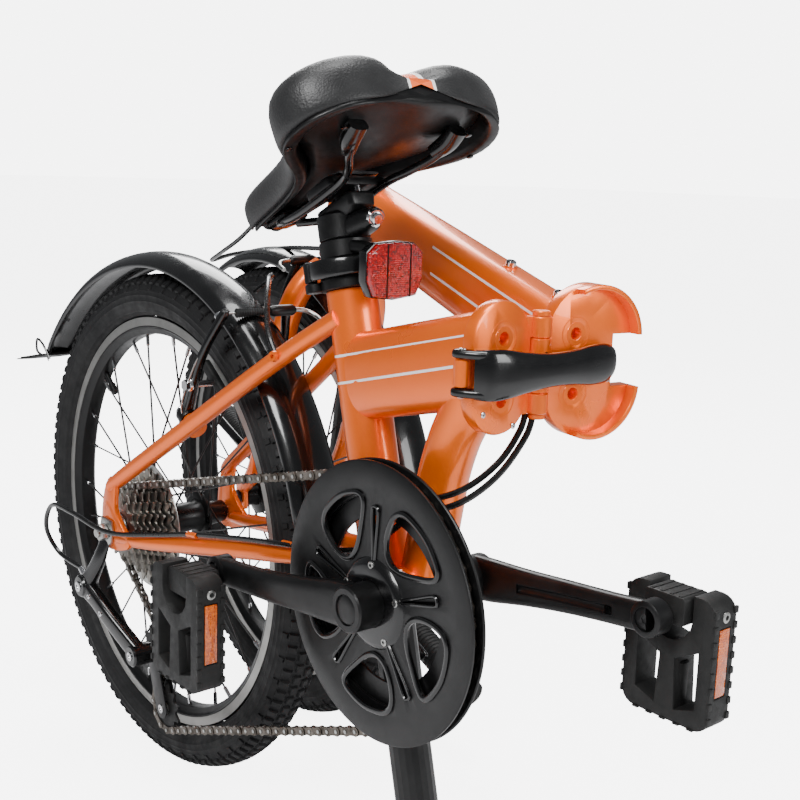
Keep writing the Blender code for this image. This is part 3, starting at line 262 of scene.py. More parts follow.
def saddle_vinyl():
    """Fine pebbled vinyl, with an orange panel edged in white over the middle of the tail."""
    made, tree, shader = shader_of("saddle_vinyl")
    coords = place_coords(tree)
    pebbles = tree.nodes.new("ShaderNodeTexVoronoi")
    pebbles.feature = "SMOOTH_F1"
    pebbles.inputs["Scale"].default_value = 650
    tree.links.new(coords, pebbles.inputs["Vector"])
    split = tree.nodes.new("ShaderNodeSeparateXYZ")
    tree.links.new(coords, split.inputs["Vector"])
    side = tree.nodes.new("ShaderNodeMath")
    side.operation = "ABSOLUTE"
    tree.links.new(split.outputs["Y"], side.inputs[0])
    tail = spread(tree, split.outputs["X"], 0, 1, 0.3200, 0.3202)
    panel = tree.nodes.new("ShaderNodeMath")
    panel.operation = "MULTIPLY"
    tree.links.new(spread(tree, side.outputs[0], 1, 0, 0.0105, 0.0107), panel.inputs[0])
    tree.links.new(tail, panel.inputs[1])
    edge = tree.nodes.new("ShaderNodeMath")
    edge.operation = "MULTIPLY"
    tree.links.new(spread(tree, side.outputs[0], 1, 0, 0.0132, 0.0134), edge.inputs[0])
    tree.links.new(tail, edge.inputs[1])
    scuff = spread(tree, noise(tree, coords, 30, 5), 0, 1, 0.4, 0.8)
    black = blend_colours(tree, scuff, (0.0050, 0.0050, 0.0055), (0.0100, 0.0100, 0.0105))
    banded = blend_colours(tree, edge.outputs[0], black, (0.82, 0.82, 0.80))
    tree.links.new(blend_colours(tree, panel.outputs[0], banded, (0.88, 0.125, 0.005)),
                   shader.inputs["Base Color"])
    tree.links.new(spread(tree, noise(tree, coords, 60), 0.42, 0.56), shader.inputs["Roughness"])
    shader.inputs["Sheen Weight"].default_value = 0.08
    bump(tree, shader, [(pebbles.outputs["Distance"], 0.00022), (noise(tree, coords, 35, 2), 0.0004)])
    return made


def lens(name, dark, light, cell):
    """Reflector plastic over a moulded honeycomb; each cell's base colour is a random red between a dark and
    a light one, a painted glint.
    """
    made, tree, shader = shader_of(name)
    coords = place_coords(tree)
    cells = tree.nodes.new("ShaderNodeTexVoronoi")
    cells.inputs["Scale"].default_value = 1 / cell
    cells.inputs["Randomness"].default_value = 0.25
    tree.links.new(coords, cells.inputs["Vector"])
    cell_glint = tree.nodes.new("ShaderNodeSeparateColor")
    tree.links.new(cells.outputs["Color"], cell_glint.inputs["Color"])
    # Painted glint: each honeycomb cell gets its own red between the dark and the light colour.
    tree.links.new(blend_colours(tree, cell_glint.outputs["Red"], dark, light), shader.inputs["Base Color"])
    tree.links.new(spread(tree, cells.outputs["Distance"], 0.08, 0.22, 0, 0.7), shader.inputs["Roughness"])
    shader.inputs["Coat Weight"].default_value = 1.0
    shader.inputs["Coat Roughness"].default_value = 0.03
    bump(tree, shader, [(cells.outputs["Distance"], 0.0006)])
    return made


def floor_paper():
    """Pale paper, lit so evenly that the camera sees it almost as bright as the backdrop."""
    made = grained("floor_paper", (0.83, 0.83, 0.84), (0.86, 0.86, 0.87), (0.75, 0.85), 3, 300, 0.00005)
    tree = made.node_tree
    path = tree.nodes.new("ShaderNodeLightPath")
    shader = tree.nodes["Principled BSDF"]
    shader.inputs["Emission Color"].default_value = (1, 1, 1, 1)
    tree.links.new(spread(tree, path.outputs["Is Camera Ray"], 0, 5.5, 0, 1),
                   shader.inputs["Emission Strength"])
    return made


PAINTS = {
    "orange": orange_paint(),
    "white": grained("pinstripe_white", (0.80, 0.79, 0.77), (0.86, 0.86, 0.85), (0.22, 0.32), 60, 700,
                     0.00003, 0, 0.6),
    "gloss_black": grained("gloss_black", (0.0020, 0.0020, 0.0022), (0.0040, 0.0040, 0.0042), (0.16, 0.28),
                           30, 220,
                           0.00006, 0, 0.5),
    "satin_black": grained("satin_black", (0.0030, 0.0030, 0.0032), (0.0060, 0.0060, 0.0062), (0.28, 0.42),
                           45, 1300,
                           0.00005),
    "guard_plastic": grained("guard_plastic", (0.0030, 0.0030, 0.0032), (0.0060, 0.0060, 0.0062),
                             (0.30, 0.42), 40, 1700,
                             0.00006),
    "pedal_plastic": grained("pedal_plastic", (0.0055, 0.0055, 0.0055), (0.0110, 0.0110, 0.0105),
                             (0.50, 0.66), 70, 1500,
                             0.00016),
    "black_alloy": grained("black_alloy", (0.0050, 0.0050, 0.0053), (0.0090, 0.0090, 0.0093), (0.25, 0.38),
                           50, 1500,
                           0.00004, 0.45),
    "rim_black": grained("rim_black", (0.0045, 0.0045, 0.0047), (0.0080, 0.0080, 0.0082), (0.28, 0.40), 50,
                         900, 0.00004,
                         0.3),
    "cable_black": grained("cable_black", (0.0035, 0.0035, 0.0035), (0.0065, 0.0065, 0.0065), (0.20, 0.32),
                           60, 900,
                           0.00004, 0, 0.3),
    "grip_rubber": grained("grip_rubber", (0.0050, 0.0050, 0.0050), (0.0100, 0.0100, 0.0100), (0.55, 0.72),
                           60, 1200,
                           0.00018),
    "tyre": tyre_rubber(),
    "brake_track": turned_metal("brake_track", (0.30, 0.295, 0.28), (0.42, 0.415, 0.40), (0.28, 0.42), 420),
    "chrome": grained("chrome", (0.62, 0.62, 0.63), (0.78, 0.78, 0.79), (0.07, 0.17), 50, 800, 0.00002, 1.0),
    "zinc": grained("zinc_steel", (0.34, 0.34, 0.33), (0.48, 0.48, 0.46), (0.24, 0.40), 80, 900, 0.00004,
                    1.0),
    "chain": chain_metal(),
    "sprocket": turned_metal("sprocket_steel", (0.26, 0.24, 0.21), (0.38, 0.36, 0.33), (0.28, 0.45), 300),
    "vinyl": saddle_vinyl(),
    "red_lens": lens("red_lens", (0.10, 0.0006, 0.0016), (0.52, 0.002, 0.004), 0.0016),
    "amber_lens": lens("amber_lens", (0.45, 0.060, 0.001), (0.80, 0.150, 0.003), 0.0018),
}


# Tools

def piece(name, shape, paint, body, place=HOME, stands_for=(), rounded=0.0, subdivide=0, sharp=35, cuts=()):
    """Makes a shown piece from a bmesh, cuts and rounds it, and lets it ride on a body."""
    bmesh.ops.recalc_face_normals(shape, faces=shape.faces)
    mesh = bpy.data.meshes.new(name)
    shape.to_mesh(mesh)
    shape.free()
    obj = bpy.data.objects.new(name, mesh)
    bpy.context.scene.collection.objects.link(obj)
    for cut in cuts:
        carve(obj, cut)
    if rounded:
        bevel = obj.modifiers.new("rounded", "BEVEL")
        bevel.width = rounded
        bevel.segments = 2
        bevel.limit_method = "ANGLE"
        bevel.angle_limit = math.radians(32)
        settle(obj)
    if subdivide:
        smooth = obj.modifiers.new("smooth", "SUBSURF")
        smooth.levels = smooth.render_levels = subdivide
        settle(obj)
    obj.data.shade_smooth()
    obj.data.set_sharp_from_angle(angle=math.radians(sharp))
    obj.data.materials.clear()
    obj.data.materials.append(PAINTS[paint])
    obj.matrix_world = place
    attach(obj, body)
    if stands_for:
        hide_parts(*stands_for)
    return obj


def settle(obj):
    """Applies an object's modifiers."""
    bpy.context.view_layer.update()
    evaluated = obj.evaluated_get(bpy.context.evaluated_depsgraph_get())
    mesh = bpy.data.meshes.new_from_object(evaluated)
    obj.modifiers.clear()
    old = obj.data
    obj.data = mesh
    bpy.data.meshes.remove(old)


def carve(obj, cutter, operation="DIFFERENCE"):
    bmesh.ops.recalc_face_normals(cutter, faces=cutter.faces)
    mesh = bpy.data.meshes.new("cutter")
    cutter.to_mesh(mesh)
    cutter.free()
    tool = bpy.data.objects.new("cutter", mesh)
    bpy.context.scene.collection.objects.link(tool)
    modifier = obj.modifiers.new("carve", "BOOLEAN")
    modifier.operation = operation
    modifier.solver = "EXACT"
    modifier.object = tool
    settle(obj)
    bpy.data.objects.remove(tool)
    bpy.data.meshes.remove(mesh)


def merged(*shapes):
    """Several closed shapes in one bmesh."""
    whole = bmesh.new()
    for shape in shapes:
        mesh = bpy.data.meshes.new("part")
        shape.to_mesh(mesh)
        shape.free()
        whole.from_mesh(mesh)
        bpy.data.meshes.remove(mesh)
    return whole


def across(axis):
    guide = Z if abs(axis.dot(Z)) < 0.8 else X
    return (guide - guide.dot(axis) * axis).normalized()


def lathe(profile, origin=(0, 0, 0), axis=Y, segments=48):
    """Turns (along, radius) points about an axis. A profile that starts on the axis is solid."""
    origin = Vector(origin)
    axis = Vector(axis).normalized()
    side = across(axis)
    other = axis.cross(side)
    bm = bmesh.new()
    rows = []
    for along, radius in profile:
        centre = origin + axis * along
        if radius == 0:
            rows.append([bm.verts.new(centre)])
            continue
        turns = [2 * math.pi * k / segments for k in range(segments)]
        rows.append([bm.verts.new(centre + (side * math.cos(t) + other * math.sin(t)) * radius)
                     for t in turns])
    pairs = list(zip(rows, rows[1:]))
    if profile[0][1] > 0:
        pairs.append((rows[-1], rows[0]))
    for low, high in pairs:
        for k in range(segments):
            n = (k + 1) % segments
            corners = (low[k % len(low)], low[n % len(low)], high[n % len(high)], high[k % len(high)])
            bm.faces.new(list(dict.fromkeys(corners)))
    return bm


def rod(start, end, radius, segments=24, edge=0.0):
    """A round bar between two points, with chamfered ends."""
    start = Vector(start)
    length = (Vector(end) - start).length
    if edge:
        profile = [(0, 0), (0, radius - edge), (edge, radius), (length - edge, radius),
                   (length, radius - edge),
                   (length, 0)]
    else:
        profile = [(0, 0), (0, radius), (length, radius), (length, 0)]
    return lathe(profile, start, Vector(end) - start, segments)


def pipe(start, end, radius, bore, segments=48, edge=0.0006):
    start = Vector(start)
    length = (Vector(end) - start).length
    profile = [(0, bore), (0, radius - edge), (edge, radius), (length - edge, radius),
               (length, radius - edge),
               (length, bore)]
    return lathe(profile, start, Vector(end) - start, segments)


def skinned(rows, closed=False, caps=True):
    """Joins equal rows of points into a surface."""
    bm = bmesh.new()
    rows = [[bm.verts.new(point) for point in row] for row in rows]
    pairs = list(zip(rows, rows[1:]))
    if closed:
        pairs.append((rows[-1], rows[0]))
    elif caps:
        bm.faces.new(rows[0])
        bm.faces.new(rows[-1])
    count = len(rows[0])
    for low, high in pairs:
        for k in range(count):
            n = (k + 1) % count
            bm.faces.new((low[k], low[n], high[n], high[k]))
    return bm


def loft(profile, stations, closed=False):
    rows = []
    for centre, u_axis, v_axis in stations:
        rows.append([Vector(centre) + u * u_axis + v * v_axis for u, v in profile])
    return skinned(rows, closed)


def round_profile(count=16, power=1.0):
    points = []
    for k in range(count):
        turn = 2 * math.pi * (k + 0.5) / count
        c, s = math.cos(turn), math.sin(turn)
        points.append((math.copysign(abs(c) ** power, c), math.copysign(abs(s) ** power, s)))
    return points


SQUARE = [(1, 1), (-1, 1), (-1, -1), (1, -1)]


def spline(points, steps=6, closed=False):
    """A smooth run through rows of numbers."""
    rows = [tuple(p) for p in points]
    count = len(rows)
    spans = count if closed else count - 1
    found = []
    for k in range(spans):
        if closed:
            near = [rows[(k + d) % count] for d in (-1, 0, 1, 2)]
        else:
            near = [rows[min(max(k + d, 0), count - 1)] for d in (-1, 0, 1, 2)]
        for step in range(steps):
            t = step / steps
            row = []
            for p, q, r, s in zip(*near):
                slope, bend, twist = r - p, 2 * p - 5 * q + 4 * r - s, 3 * q - p - 3 * r + s
                row.append(0.5 * (2 * q + slope * t + bend * t * t + twist * t ** 3))
            found.append(row)
    if not closed:
        found.append(list(rows[-1]))
    return found


def swept(path, sizes, guide=Y, profile=None, closed=False):
    """A profile along a path, with u along the guide. sizes has (half_u, half_v) per point, or one."""
    path = [Vector(point) for point in path]
    last = len(path) - 1
    stations = []
    for k, point in enumerate(path):
        before = path[k - 1] if k or closed else point
        after = path[(k + 1) % len(path)] if k < last or closed else point
        ahead = (after - before).normalized()
        u_axis = (guide - guide.dot(ahead) * ahead).normalized()
        half_u, half_v = sizes[k] if isinstance(sizes, list) else sizes
        stations.append((point, u_axis * half_u, ahead.cross(u_axis) * half_v))
    return loft(profile or round_profile(), stations, closed)


def formed(points, guide=Y, profile=None, steps=6):
    """A smooth swept shape through (x, y, z, half_u, half_v) rows."""
    rows = spline(points, steps)
    return swept([row[:3] for row in rows], [tuple(row[3:5]) for row in rows], guide, profile)


def hose(points, radius, steps=8, segments=10, closed=False):
    """A round cable through points, whose section doesn't twist."""
    path = [Vector(p) for p in spline(points, steps, closed)]
    last = len(path) - 1
    ahead = (path[1] - path[0]).normalized()
    u_axis = across(ahead)
    rows = []
    for k, point in enumerate(path):
        before, after = path[max(k - 1, 0)], path[min(k + 1, last)]
        ahead = (after - before).normalized()
        u_axis = (u_axis - u_axis.dot(ahead) * ahead).normalized()
        v_axis = ahead.cross(u_axis)
        turns = [2 * math.pi * n / segments for n in range(segments)]
        rows.append([point + (u_axis * math.cos(t) + v_axis * math.sin(t)) * radius for t in turns])
    return skinned(rows)


def block(centre, half, u_axis=X, v_axis=Y):
    w_axis = u_axis.cross(v_axis)
    centre = Vector(centre)
    stations = [(centre + w_axis * side * half[2], u_axis * half[0], v_axis * half[1]) for side in (-1, 1)]
    return loft(SQUARE, stations)


def slab(outline, origin, u_axis, v_axis, depth):
    w_axis = u_axis.cross(v_axis).normalized()
    return loft(outline, [(origin, u_axis, v_axis), (Vector(origin) + w_axis * depth, u_axis, v_axis)])


def arc(centre, radius, first, last, count):
    turns = [math.radians(first + (last - first) * k / (count - 1)) for k in range(count)]
    return [(centre[0] + radius * math.cos(t), centre[1] + radius * math.sin(t)) for t in turns]


def rounded_box(half_u, half_v, radius, count=5):
    """A rectangle with round corners, as (u, v) points."""
    points = []
    for quarter, (su, sv) in enumerate(((1, 1), (-1, 1), (-1, -1), (1, -1))):
        centre = (su * (half_u - radius), sv * (half_v - radius))
        points += arc(centre, radius, 90 * quarter, 90 * quarter + 90, count)
    return points


def hexagon(radius):
    return [(radius * math.cos(math.radians(60 * k)),
             radius * math.sin(math.radians(60 * k))) for k in range(6)]


def bolt_head(centre, axis, radius, height, socket=True):
    """A round cap screw, with a hexagonal socket sunk in it when asked."""
    axis = Vector(axis).normalized()
    profile = [(0, 0), (0, radius), (height * 0.75, radius), (height, radius * 0.8)]
    if socket:
        profile += [(height, radius * 0.45), (height * 0.35, radius * 0.42), (height * 0.35, 0)]
    else:
        profile += [(height, 0)]
    return lathe(profile, centre, axis, 24)


def keep_node(node, paint, edge=0.0):
    """A CAD node whose shape is right stays, with a better finish and softened edges."""
    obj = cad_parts[node]
    obj.data.materials.clear()
    obj.data.materials.append(PAINTS[paint])
    if edge:
        bevel = obj.modifiers.new("softened", "BEVEL")
        bevel.width = edge
        bevel.segments = 2
        bevel.limit_method = "ANGLE"
        bevel.angle_limit = math.radians(40)


# Wheels

def tyre(name, node, body, place):
    """A carcass with sidewall lines, and blocks of tread in six rows."""
    profile = []
    lines = {70: 0.0005, 82: 0.0007, 98: 0.0006, 128: 0.0008}
    section_r = 0.0212
    for turn in [-146 + 4 * k for k in range(74)]:
        radius = section_r
        for line, proud in lines.items():
            if abs(abs(turn) - line) <= 2:
                radius += proud
        angle = math.radians(turn)
        profile.append((radius * math.sin(angle), TYRE_CENTRE_R + radius * math.cos(angle)))
    piece(name, lathe(profile, segments=120), "tyre", body, place, [node])
    count = 120
    # section angle, half length round the wheel, half width, height, shift in steps, every how many
    tread = ((-13, 0.0040, 0.0036, 0.0027, 0.0, 1), (13, 0.0040, 0.0036, 0.0027, 0.5, 1),
             (-40, 0.0036, 0.0046, 0.0030, 0.5, 1), (40, 0.0036, 0.0046, 0.0030, 0.0, 1),
             (-62, 0.0026, 0.0030, 0.0018, 0.5, 2), (62, 0.0026, 0.0030, 0.0018, 0.0, 2))
    bm = bmesh.new()
    for section, half_round, half_width, height, shift, every in tread:
        for k in range(0, count, every):
            add_knob(bm, section, half_round, half_width, height, 2 * math.pi * (k + shift) / count)
    piece(f"{name}_tread", bm, "tyre", body, place)


def add_knob(bm, section, half_round, half_width, height, turn):
    """One block of tread, narrower at its top."""
    out = X * math.cos(turn) + Z * math.sin(turn)
    ahead = Z * math.cos(turn) - X * math.sin(turn)
    tilt = math.radians(section)
    up = out * math.cos(tilt) + Y * math.sin(tilt)
    wide = Y * math.cos(tilt) - out * math.sin(tilt)
    base = out * TYRE_CENTRE_R + up * 0.0208
    rows = []
    for level, scale in ((0.0, 1.0), (height - 0.0008, 0.92), (height, 0.78)):
        centre = base + up * level
        rows.append([bm.verts.new(centre + ahead * half_round * scale * u + wide * half_width * scale * v)
                     for u, v in SQUARE])
    bm.faces.new(rows[0])
    bm.faces.new(rows[-1])
    for low, high in zip(rows, rows[1:]):
        for k in range(4):
            n = (k + 1) % 4
            bm.faces.new((low[k], low[n], high[n], high[k]))


def rim(name, node, body, place, valve_turn):
    half = RIM_HALF_WIDTH - 0.0003
    profile = [(-half, RIM_OUTER_R), (half, RIM_OUTER_R), (half, RIM_TRACK_R + 0.0004),
               (half - 0.0008, RIM_TRACK_R),
               (half - 0.0025, RIM_TRACK_R - 0.0022), (0.0075, RIM_INNER_R + 0.0006), (0.0062, RIM_INNER_R),
               (-0.0062, RIM_INNER_R), (-0.0075, RIM_INNER_R + 0.0006), (0.0025 - half, RIM_TRACK_R - 0.0022),
               (0.0008 - half, RIM_TRACK_R), (-half, RIM_TRACK_R + 0.0004)]
    piece(name, lathe(profile, segments=120), "rim_black", body, place, [node])
    tracks = []
    for side in (-1, 1):
        inner, outer = side * (half - 0.0006), side * (half + 0.0004)
        tracks.append(lathe([(inner, 0.1985), (outer, 0.1987), (outer, 0.2070), (inner, 0.2072)],
                            segments=120))
    piece(f"{name}_brake_track", merged(*tracks), "brake_track", body, place)
    out = X * math.cos(valve_turn) + Z * math.sin(valve_turn)
    stem = lathe([(0, 0), (0, 0.0028), (0.016, 0.0028), (0.016, 0.0040), (0.026, 0.0038), (0.028, 0.0022),
                  (0.028, 0)], out * (RIM_INNER_R + 0.001), -out, 16)
    piece(f"{name}_valve", stem, "satin_black", body, place)


def spokes(name, body, place, flanges):
    """Crossed spokes with nipples, on each flange in turn, leaning forward and back."""
    wires, nipples = [], []
    half = SPOKES // 2
    for flange_y, flange_r, shift in flanges:
        for k in range(half):
            rim_turn = 2 * math.pi * (k + shift) / half
            lean = 2 * 2 * math.pi / half * (1 if k % 2 else -1)
            out = X * math.cos(rim_turn) + Z * math.sin(rim_turn)
            hub_out = X * math.cos(rim_turn + lean) + Z * math.sin(rim_turn + lean)
            step = 0.0014 if k % 2 else -0.0014
            start = hub_out * (flange_r - 0.0025) + Y * (flange_y + step)
            end = out * (RIM_INNER_R + 0.001) + Y * math.copysign(0.0025, flange_y)
            ahead = (end - start).normalized()
            wires.append(rod(start, end - ahead * 0.006, 0.0010, 6))
            nipples.append(rod(end - ahead * 0.0125, end, 0.0019, 8, 0.0005))
            wires.append(rod(start - Y * step * 1.9, start + Y * step * 0.6, 0.0017, 8))
    piece(f"{name}_spokes", merged(*wires), "satin_black", body, place)
    piece(f"{name}_nipples", merged(*nipples), "chrome", body, place)


def wheels():
    rear = Matrix.Translation(REAR_AXLE)
    front = STEER @ Matrix.Translation(FRONT_AXLE)
    tyre("rear_tyre_carcass", "rear_tyre", "rear_wheel", rear)
    tyre("front_tyre_carcass", "front_tyre", "front_wheel", front)
    rim("rear_wheel_rim", "rear_rim", "rear_wheel", rear, math.radians(137))
    rim("front_wheel_rim", "front_rim", "front_wheel", front, math.radians(250))
    rear_hub = [(-0.0262, 0.0053), (-0.0262, 0.0280), (-0.0252, 0.0300), (-0.0218, 0.0300), (-0.0212, 0.0280),
                (-0.0205, 0.0190), (-0.0150, 0.0155), (0.0240, 0.0150), (0.0295, 0.0175), (0.0305, 0.0230),
                (0.0312, 0.0240), (0.0338, 0.0240), (0.0345, 0.0225), (0.0350, 0.0150), (0.0480, 0.0125),
                (0.0600, 0.0110), (0.0600, 0.0053)]
    piece("rear_hub_shell", lathe(rear_hub, segments=56), "black_alloy", "rear_wheel", rear, ["rear_hub"])
    front_hub = [(-0.0490, 0.0053), (-0.0490, 0.0100), (-0.0480, 0.0110), (-0.0360, 0.0125),
                 (-0.0350, 0.0205),
                 (-0.0342, 0.0220), (-0.0312, 0.0220), (-0.0305, 0.0205), (-0.0290, 0.0150),
                 (-0.0200, 0.0125),
                 (0.0200, 0.0125), (0.0290, 0.0150), (0.0305, 0.0205), (0.0312, 0.0220), (0.0342, 0.0220),
                 (0.0350, 0.0205), (0.0360, 0.0125), (0.0480, 0.0110), (0.0490, 0.0100), (0.0490, 0.0053)]
    piece("front_hub_shell", lathe(front_hub, segments=56), "black_alloy", "front_wheel", front,
          ["front_hub"])
    spokes("rear_wheel", "rear_wheel", rear, ((-0.02350, 0.0300, 0.0), (0.03225, 0.0240, 0.5)))
    spokes("front_wheel", "front_wheel", front, ((-0.03275, 0.0220, 0.0), (0.03275, 0.0220, 0.5)))
    guard = lathe([(-0.0268, 0.031), (-0.0268, 0.0640), (-0.0262, 0.0645), (-0.0256, 0.0640),
                   (-0.0256, 0.031)],
                  segments=72)
    piece("spoke_protector", guard, "zinc", "rear_wheel", rear)
    washers = []
    for y in (-0.0700, 0.0690):
        washers.append(lathe([(y - 0.0006, 0.005), (y - 0.0006, 0.0105), (y + 0.0006, 0.0105),
                              (y + 0.0006, 0.005)],
                             segments=32))
    nuts = []
    for low, high in ((-0.0800, -0.0730), (0.0697, 0.0768)):
        nuts.append(slab(hexagon(0.0088), Y * low, Z, X, high - low))
    thread = lathe([(-0.0830, 0), (-0.0830, 0.0040), (-0.0822, 0.0048), (0.0792, 0.0048), (0.0800, 0.0040),
                    (0.0800, 0)], segments=24)
    piece("rear_axle_nuts", merged(*nuts), "zinc", "rear_frame", rear, rounded=0.0006)
    piece("rear_axle_shaft", thread, "zinc", "rear_frame", rear, ["rear_axle"])
    nuts = [slab(hexagon(0.0082), Y * low, Z, X, 0.0062) for low in (-0.0616, 0.0554)]
    thread = lathe([(-0.0630, 0), (-0.0630, 0.0038), (-0.0622, 0.0046), (0.0622, 0.0046), (0.0630, 0.0038),
                    (0.0630, 0)], segments=24)
    piece("front_axle_nuts", merged(*nuts), "satin_black", "fork", front, rounded=0.0006)
    piece("front_axle_shaft", thread, "satin_black", "fork", front, ["front_axle"])


# Drive

def gear(teeth, pitch_r, mid, thickness, bore, centre=(0, 0, 0)):
    """A toothed ring about Y."""
    tooth = [-0.0038, -0.0040, -0.0018, 0.0026, 0.0026, -0.0018]
    half = thickness / 2
    rows = []
    count = teeth * len(tooth)
    for k in range(count):
        turn = 2 * math.pi * k / count
        out = X * math.cos(turn) + Z * math.sin(turn)
        tip = pitch_r + tooth[k % len(tooth)]
        rows.append([Vector(centre) + out * radius + Y * (mid + y) for radius, y in
                     ((bore, -half), (tip, -half), (tip, half), (bore, half))])
    return skinned(rows, closed=True)


def pitch_radius(teeth):
    return CHAIN_PITCH / (2 * math.sin(math.pi / teeth))


def tangent(first, second):
    """Where a belt leaves one wheel and meets the next. A wheel is (centre, radius, turn), turn 1 or -1."""
    (c1, r1, s1), (c2, r2, s2) = first, second
    gap = c2 - c1
    heading = math.atan2(gap.y, gap.x) - math.asin((s2 * r2 - s1 * r1) / gap.length)
    normal = Vector((-math.sin(heading), math.cos(heading)))
    return c1 - normal * s1 * r1, c2 - normal * s2 * r2


def chain_pins():
    """The places of the chain's pins, one pitch apart along its loop."""
    wheels = [(Vector((BB.x, BB.z)), CHAINRING_PITCH_R, 1), (Vector((0, WHEEL_R)), SPROCKET_PITCH_R, 1),
              (Vector((JOCKEY_HIGH.x, JOCKEY_HIGH.z)), JOCKEY_PITCH_R, -1),
              (Vector((JOCKEY_LOW.x, JOCKEY_LOW.z)), JOCKEY_PITCH_R, 1)]
    path = []
    for k, wheel in enumerate(wheels):
        arrive = tangent(wheels[k - 1], wheel)[1]
        leave = tangent(wheel, wheels[(k + 1) % len(wheels)])[0]
        centre, radius, turn = wheel
        start = math.atan2(*(arrive - centre).yx)
        sweep = (math.atan2(*(leave - centre).yx) - start) * turn % (2 * math.pi)
        steps = 60
        for step in range(steps + 1):
            angle = start + turn * sweep * step / steps
            path.append(centre + Vector((math.cos(angle), math.sin(angle))) * radius)
    lengths = [(path[(k + 1) % len(path)] - p).length for k, p in enumerate(path)]
    count = 2 * round(sum(lengths) / CHAIN_PITCH / 2)
    pitch = sum(lengths) / count
    pins, walked, k = [], 0.0, 0
    for n in range(count):
        while walked + lengths[k] < n * pitch:
            walked += lengths[k]
            k += 1
        share = (n * pitch - walked) / lengths[k]
        pins.append(path[k].lerp(path[(k + 1) % len(path)], share))
    return pins


def link_outline(length):
    """A waisted plate around two pins, as (along, across) from its first pin."""
    end_r, waist = 0.0041, 0.0030
    first = arc((0, 0), end_r, 55, 305, 8)
    second = arc((length, 0), end_r, -125, 125, 8)
    return first + [(length / 2, -waist)] + second + [(length / 2, waist)]


def chain():
    pins = chain_pins()
    plates, axles = [], []
    for k, pin in enumerate(pins):
        after = pins[(k + 1) % len(pins)]
        ahead = after - pin
        along = Vector((ahead.x, 0, ahead.y)).normalized()
        over = along.cross(Y)
        place = Vector((pin.x, CHAIN_Y, pin.y))
        offset = 0.0015 if k % 2 else 0.0023
        outline = link_outline(ahead.length)
        for side in (-1, 1):
            centre = place + Y * (side * offset - 0.00035)
            rows = [[centre + along * u + over * v + Y * lift for u, v in outline] for lift in (0, 0.0007)]
            plates.append(skinned(rows))
        axles.append(rod(place - Y * 0.0032, place + Y * 0.0032, 0.0017, 8))
        axles.append(rod(place - Y * 0.0011, place + Y * 0.0011, 0.0037, 12))
    piece("chain_plates", merged(*plates), "chain", "rear_frame", stands_for=["chain"])
    piece("chain_rollers", merged(*axles), "zinc", "rear_frame")


def freewheel():
    centre = Matrix.Translation(REAR_AXLE)
    cogs = []
    for k, teeth in enumerate((28, 24, 22, 20, 18, 16, 14)):
        cogs.append(gear(teeth, pitch_radius(teeth), -0.0290 - 0.0045 * k, 0.0018, 0.0200))
    piece("freewheel_sprockets", merged(*cogs), "sprocket", "freewheel", centre, ["freewheel"])
    core = [(-0.0570, 0.0170), (-0.0570, 0.0215), (-0.0562, 0.0225), (-0.0280, 0.0235), (-0.0275, 0.0170)]
    piece("freewheel_core", lathe(core, segments=48), "zinc", "freewheel", centre)
    lock = [(-0.0598, 0.0105), (-0.0598, 0.0150), (-0.0590, 0.0160), (-0.0575, 0.0165), (-0.0575, 0.0105)]
    piece("freewheel_lockring", lathe(lock, segments=36), "zinc", "freewheel", centre)


def leaf(count, lean, stretch=1.0, inset=0.0):
    """The outline of one opening of the guard, as (x, z) about the crank, turned to its place and leaning."""
    shape = ((0.041, -5), (0.047, -15), (0.058, -20), (0.071, -21.5), (0.0790, -19.5), (0.0825, -13),
             (0.0838, 0),
             (0.0825, 13), (0.0790, 19.5), (0.071, 21.5), (0.058, 20), (0.047, 15), (0.041, 5))
    middle_r, points = 0.064, []
    for radius, turn in shape:
        radius = middle_r + (radius - middle_r) * stretch + (inset if radius < middle_r else -inset)
        side = math.copysign(inset / radius, turn) if turn else 0
        turn = math.radians(turn * stretch + lean * (radius - middle_r) / 0.02) - side
        points.append((radius, turn))
    flat = []
    for radius, turn in points:
        whole = turn + count
        flat.append((radius * math.cos(whole), radius * math.sin(whole)))
    return [tuple(p) for p in spline(flat, 4, closed=True)]


def arm_slot(turn):
    """The narrow opening down the middle of one of the guard's arms, wider outside."""
    flat = []
    for radius, half in ((0.033, 0.0010), (0.050, 0.0022), (0.068, 0.0036), (0.0735, 0.0026),
                         (0.0735, -0.0026),
                         (0.068, -0.0036), (0.050, -0.0022), (0.033, -0.0010)):
        flat.append((radius * math.cos(turn) - half * math.sin(turn),
                     radius * math.sin(turn) + half * math.cos(turn)))
    return [tuple(p) for p in spline(flat, 3, closed=True)]


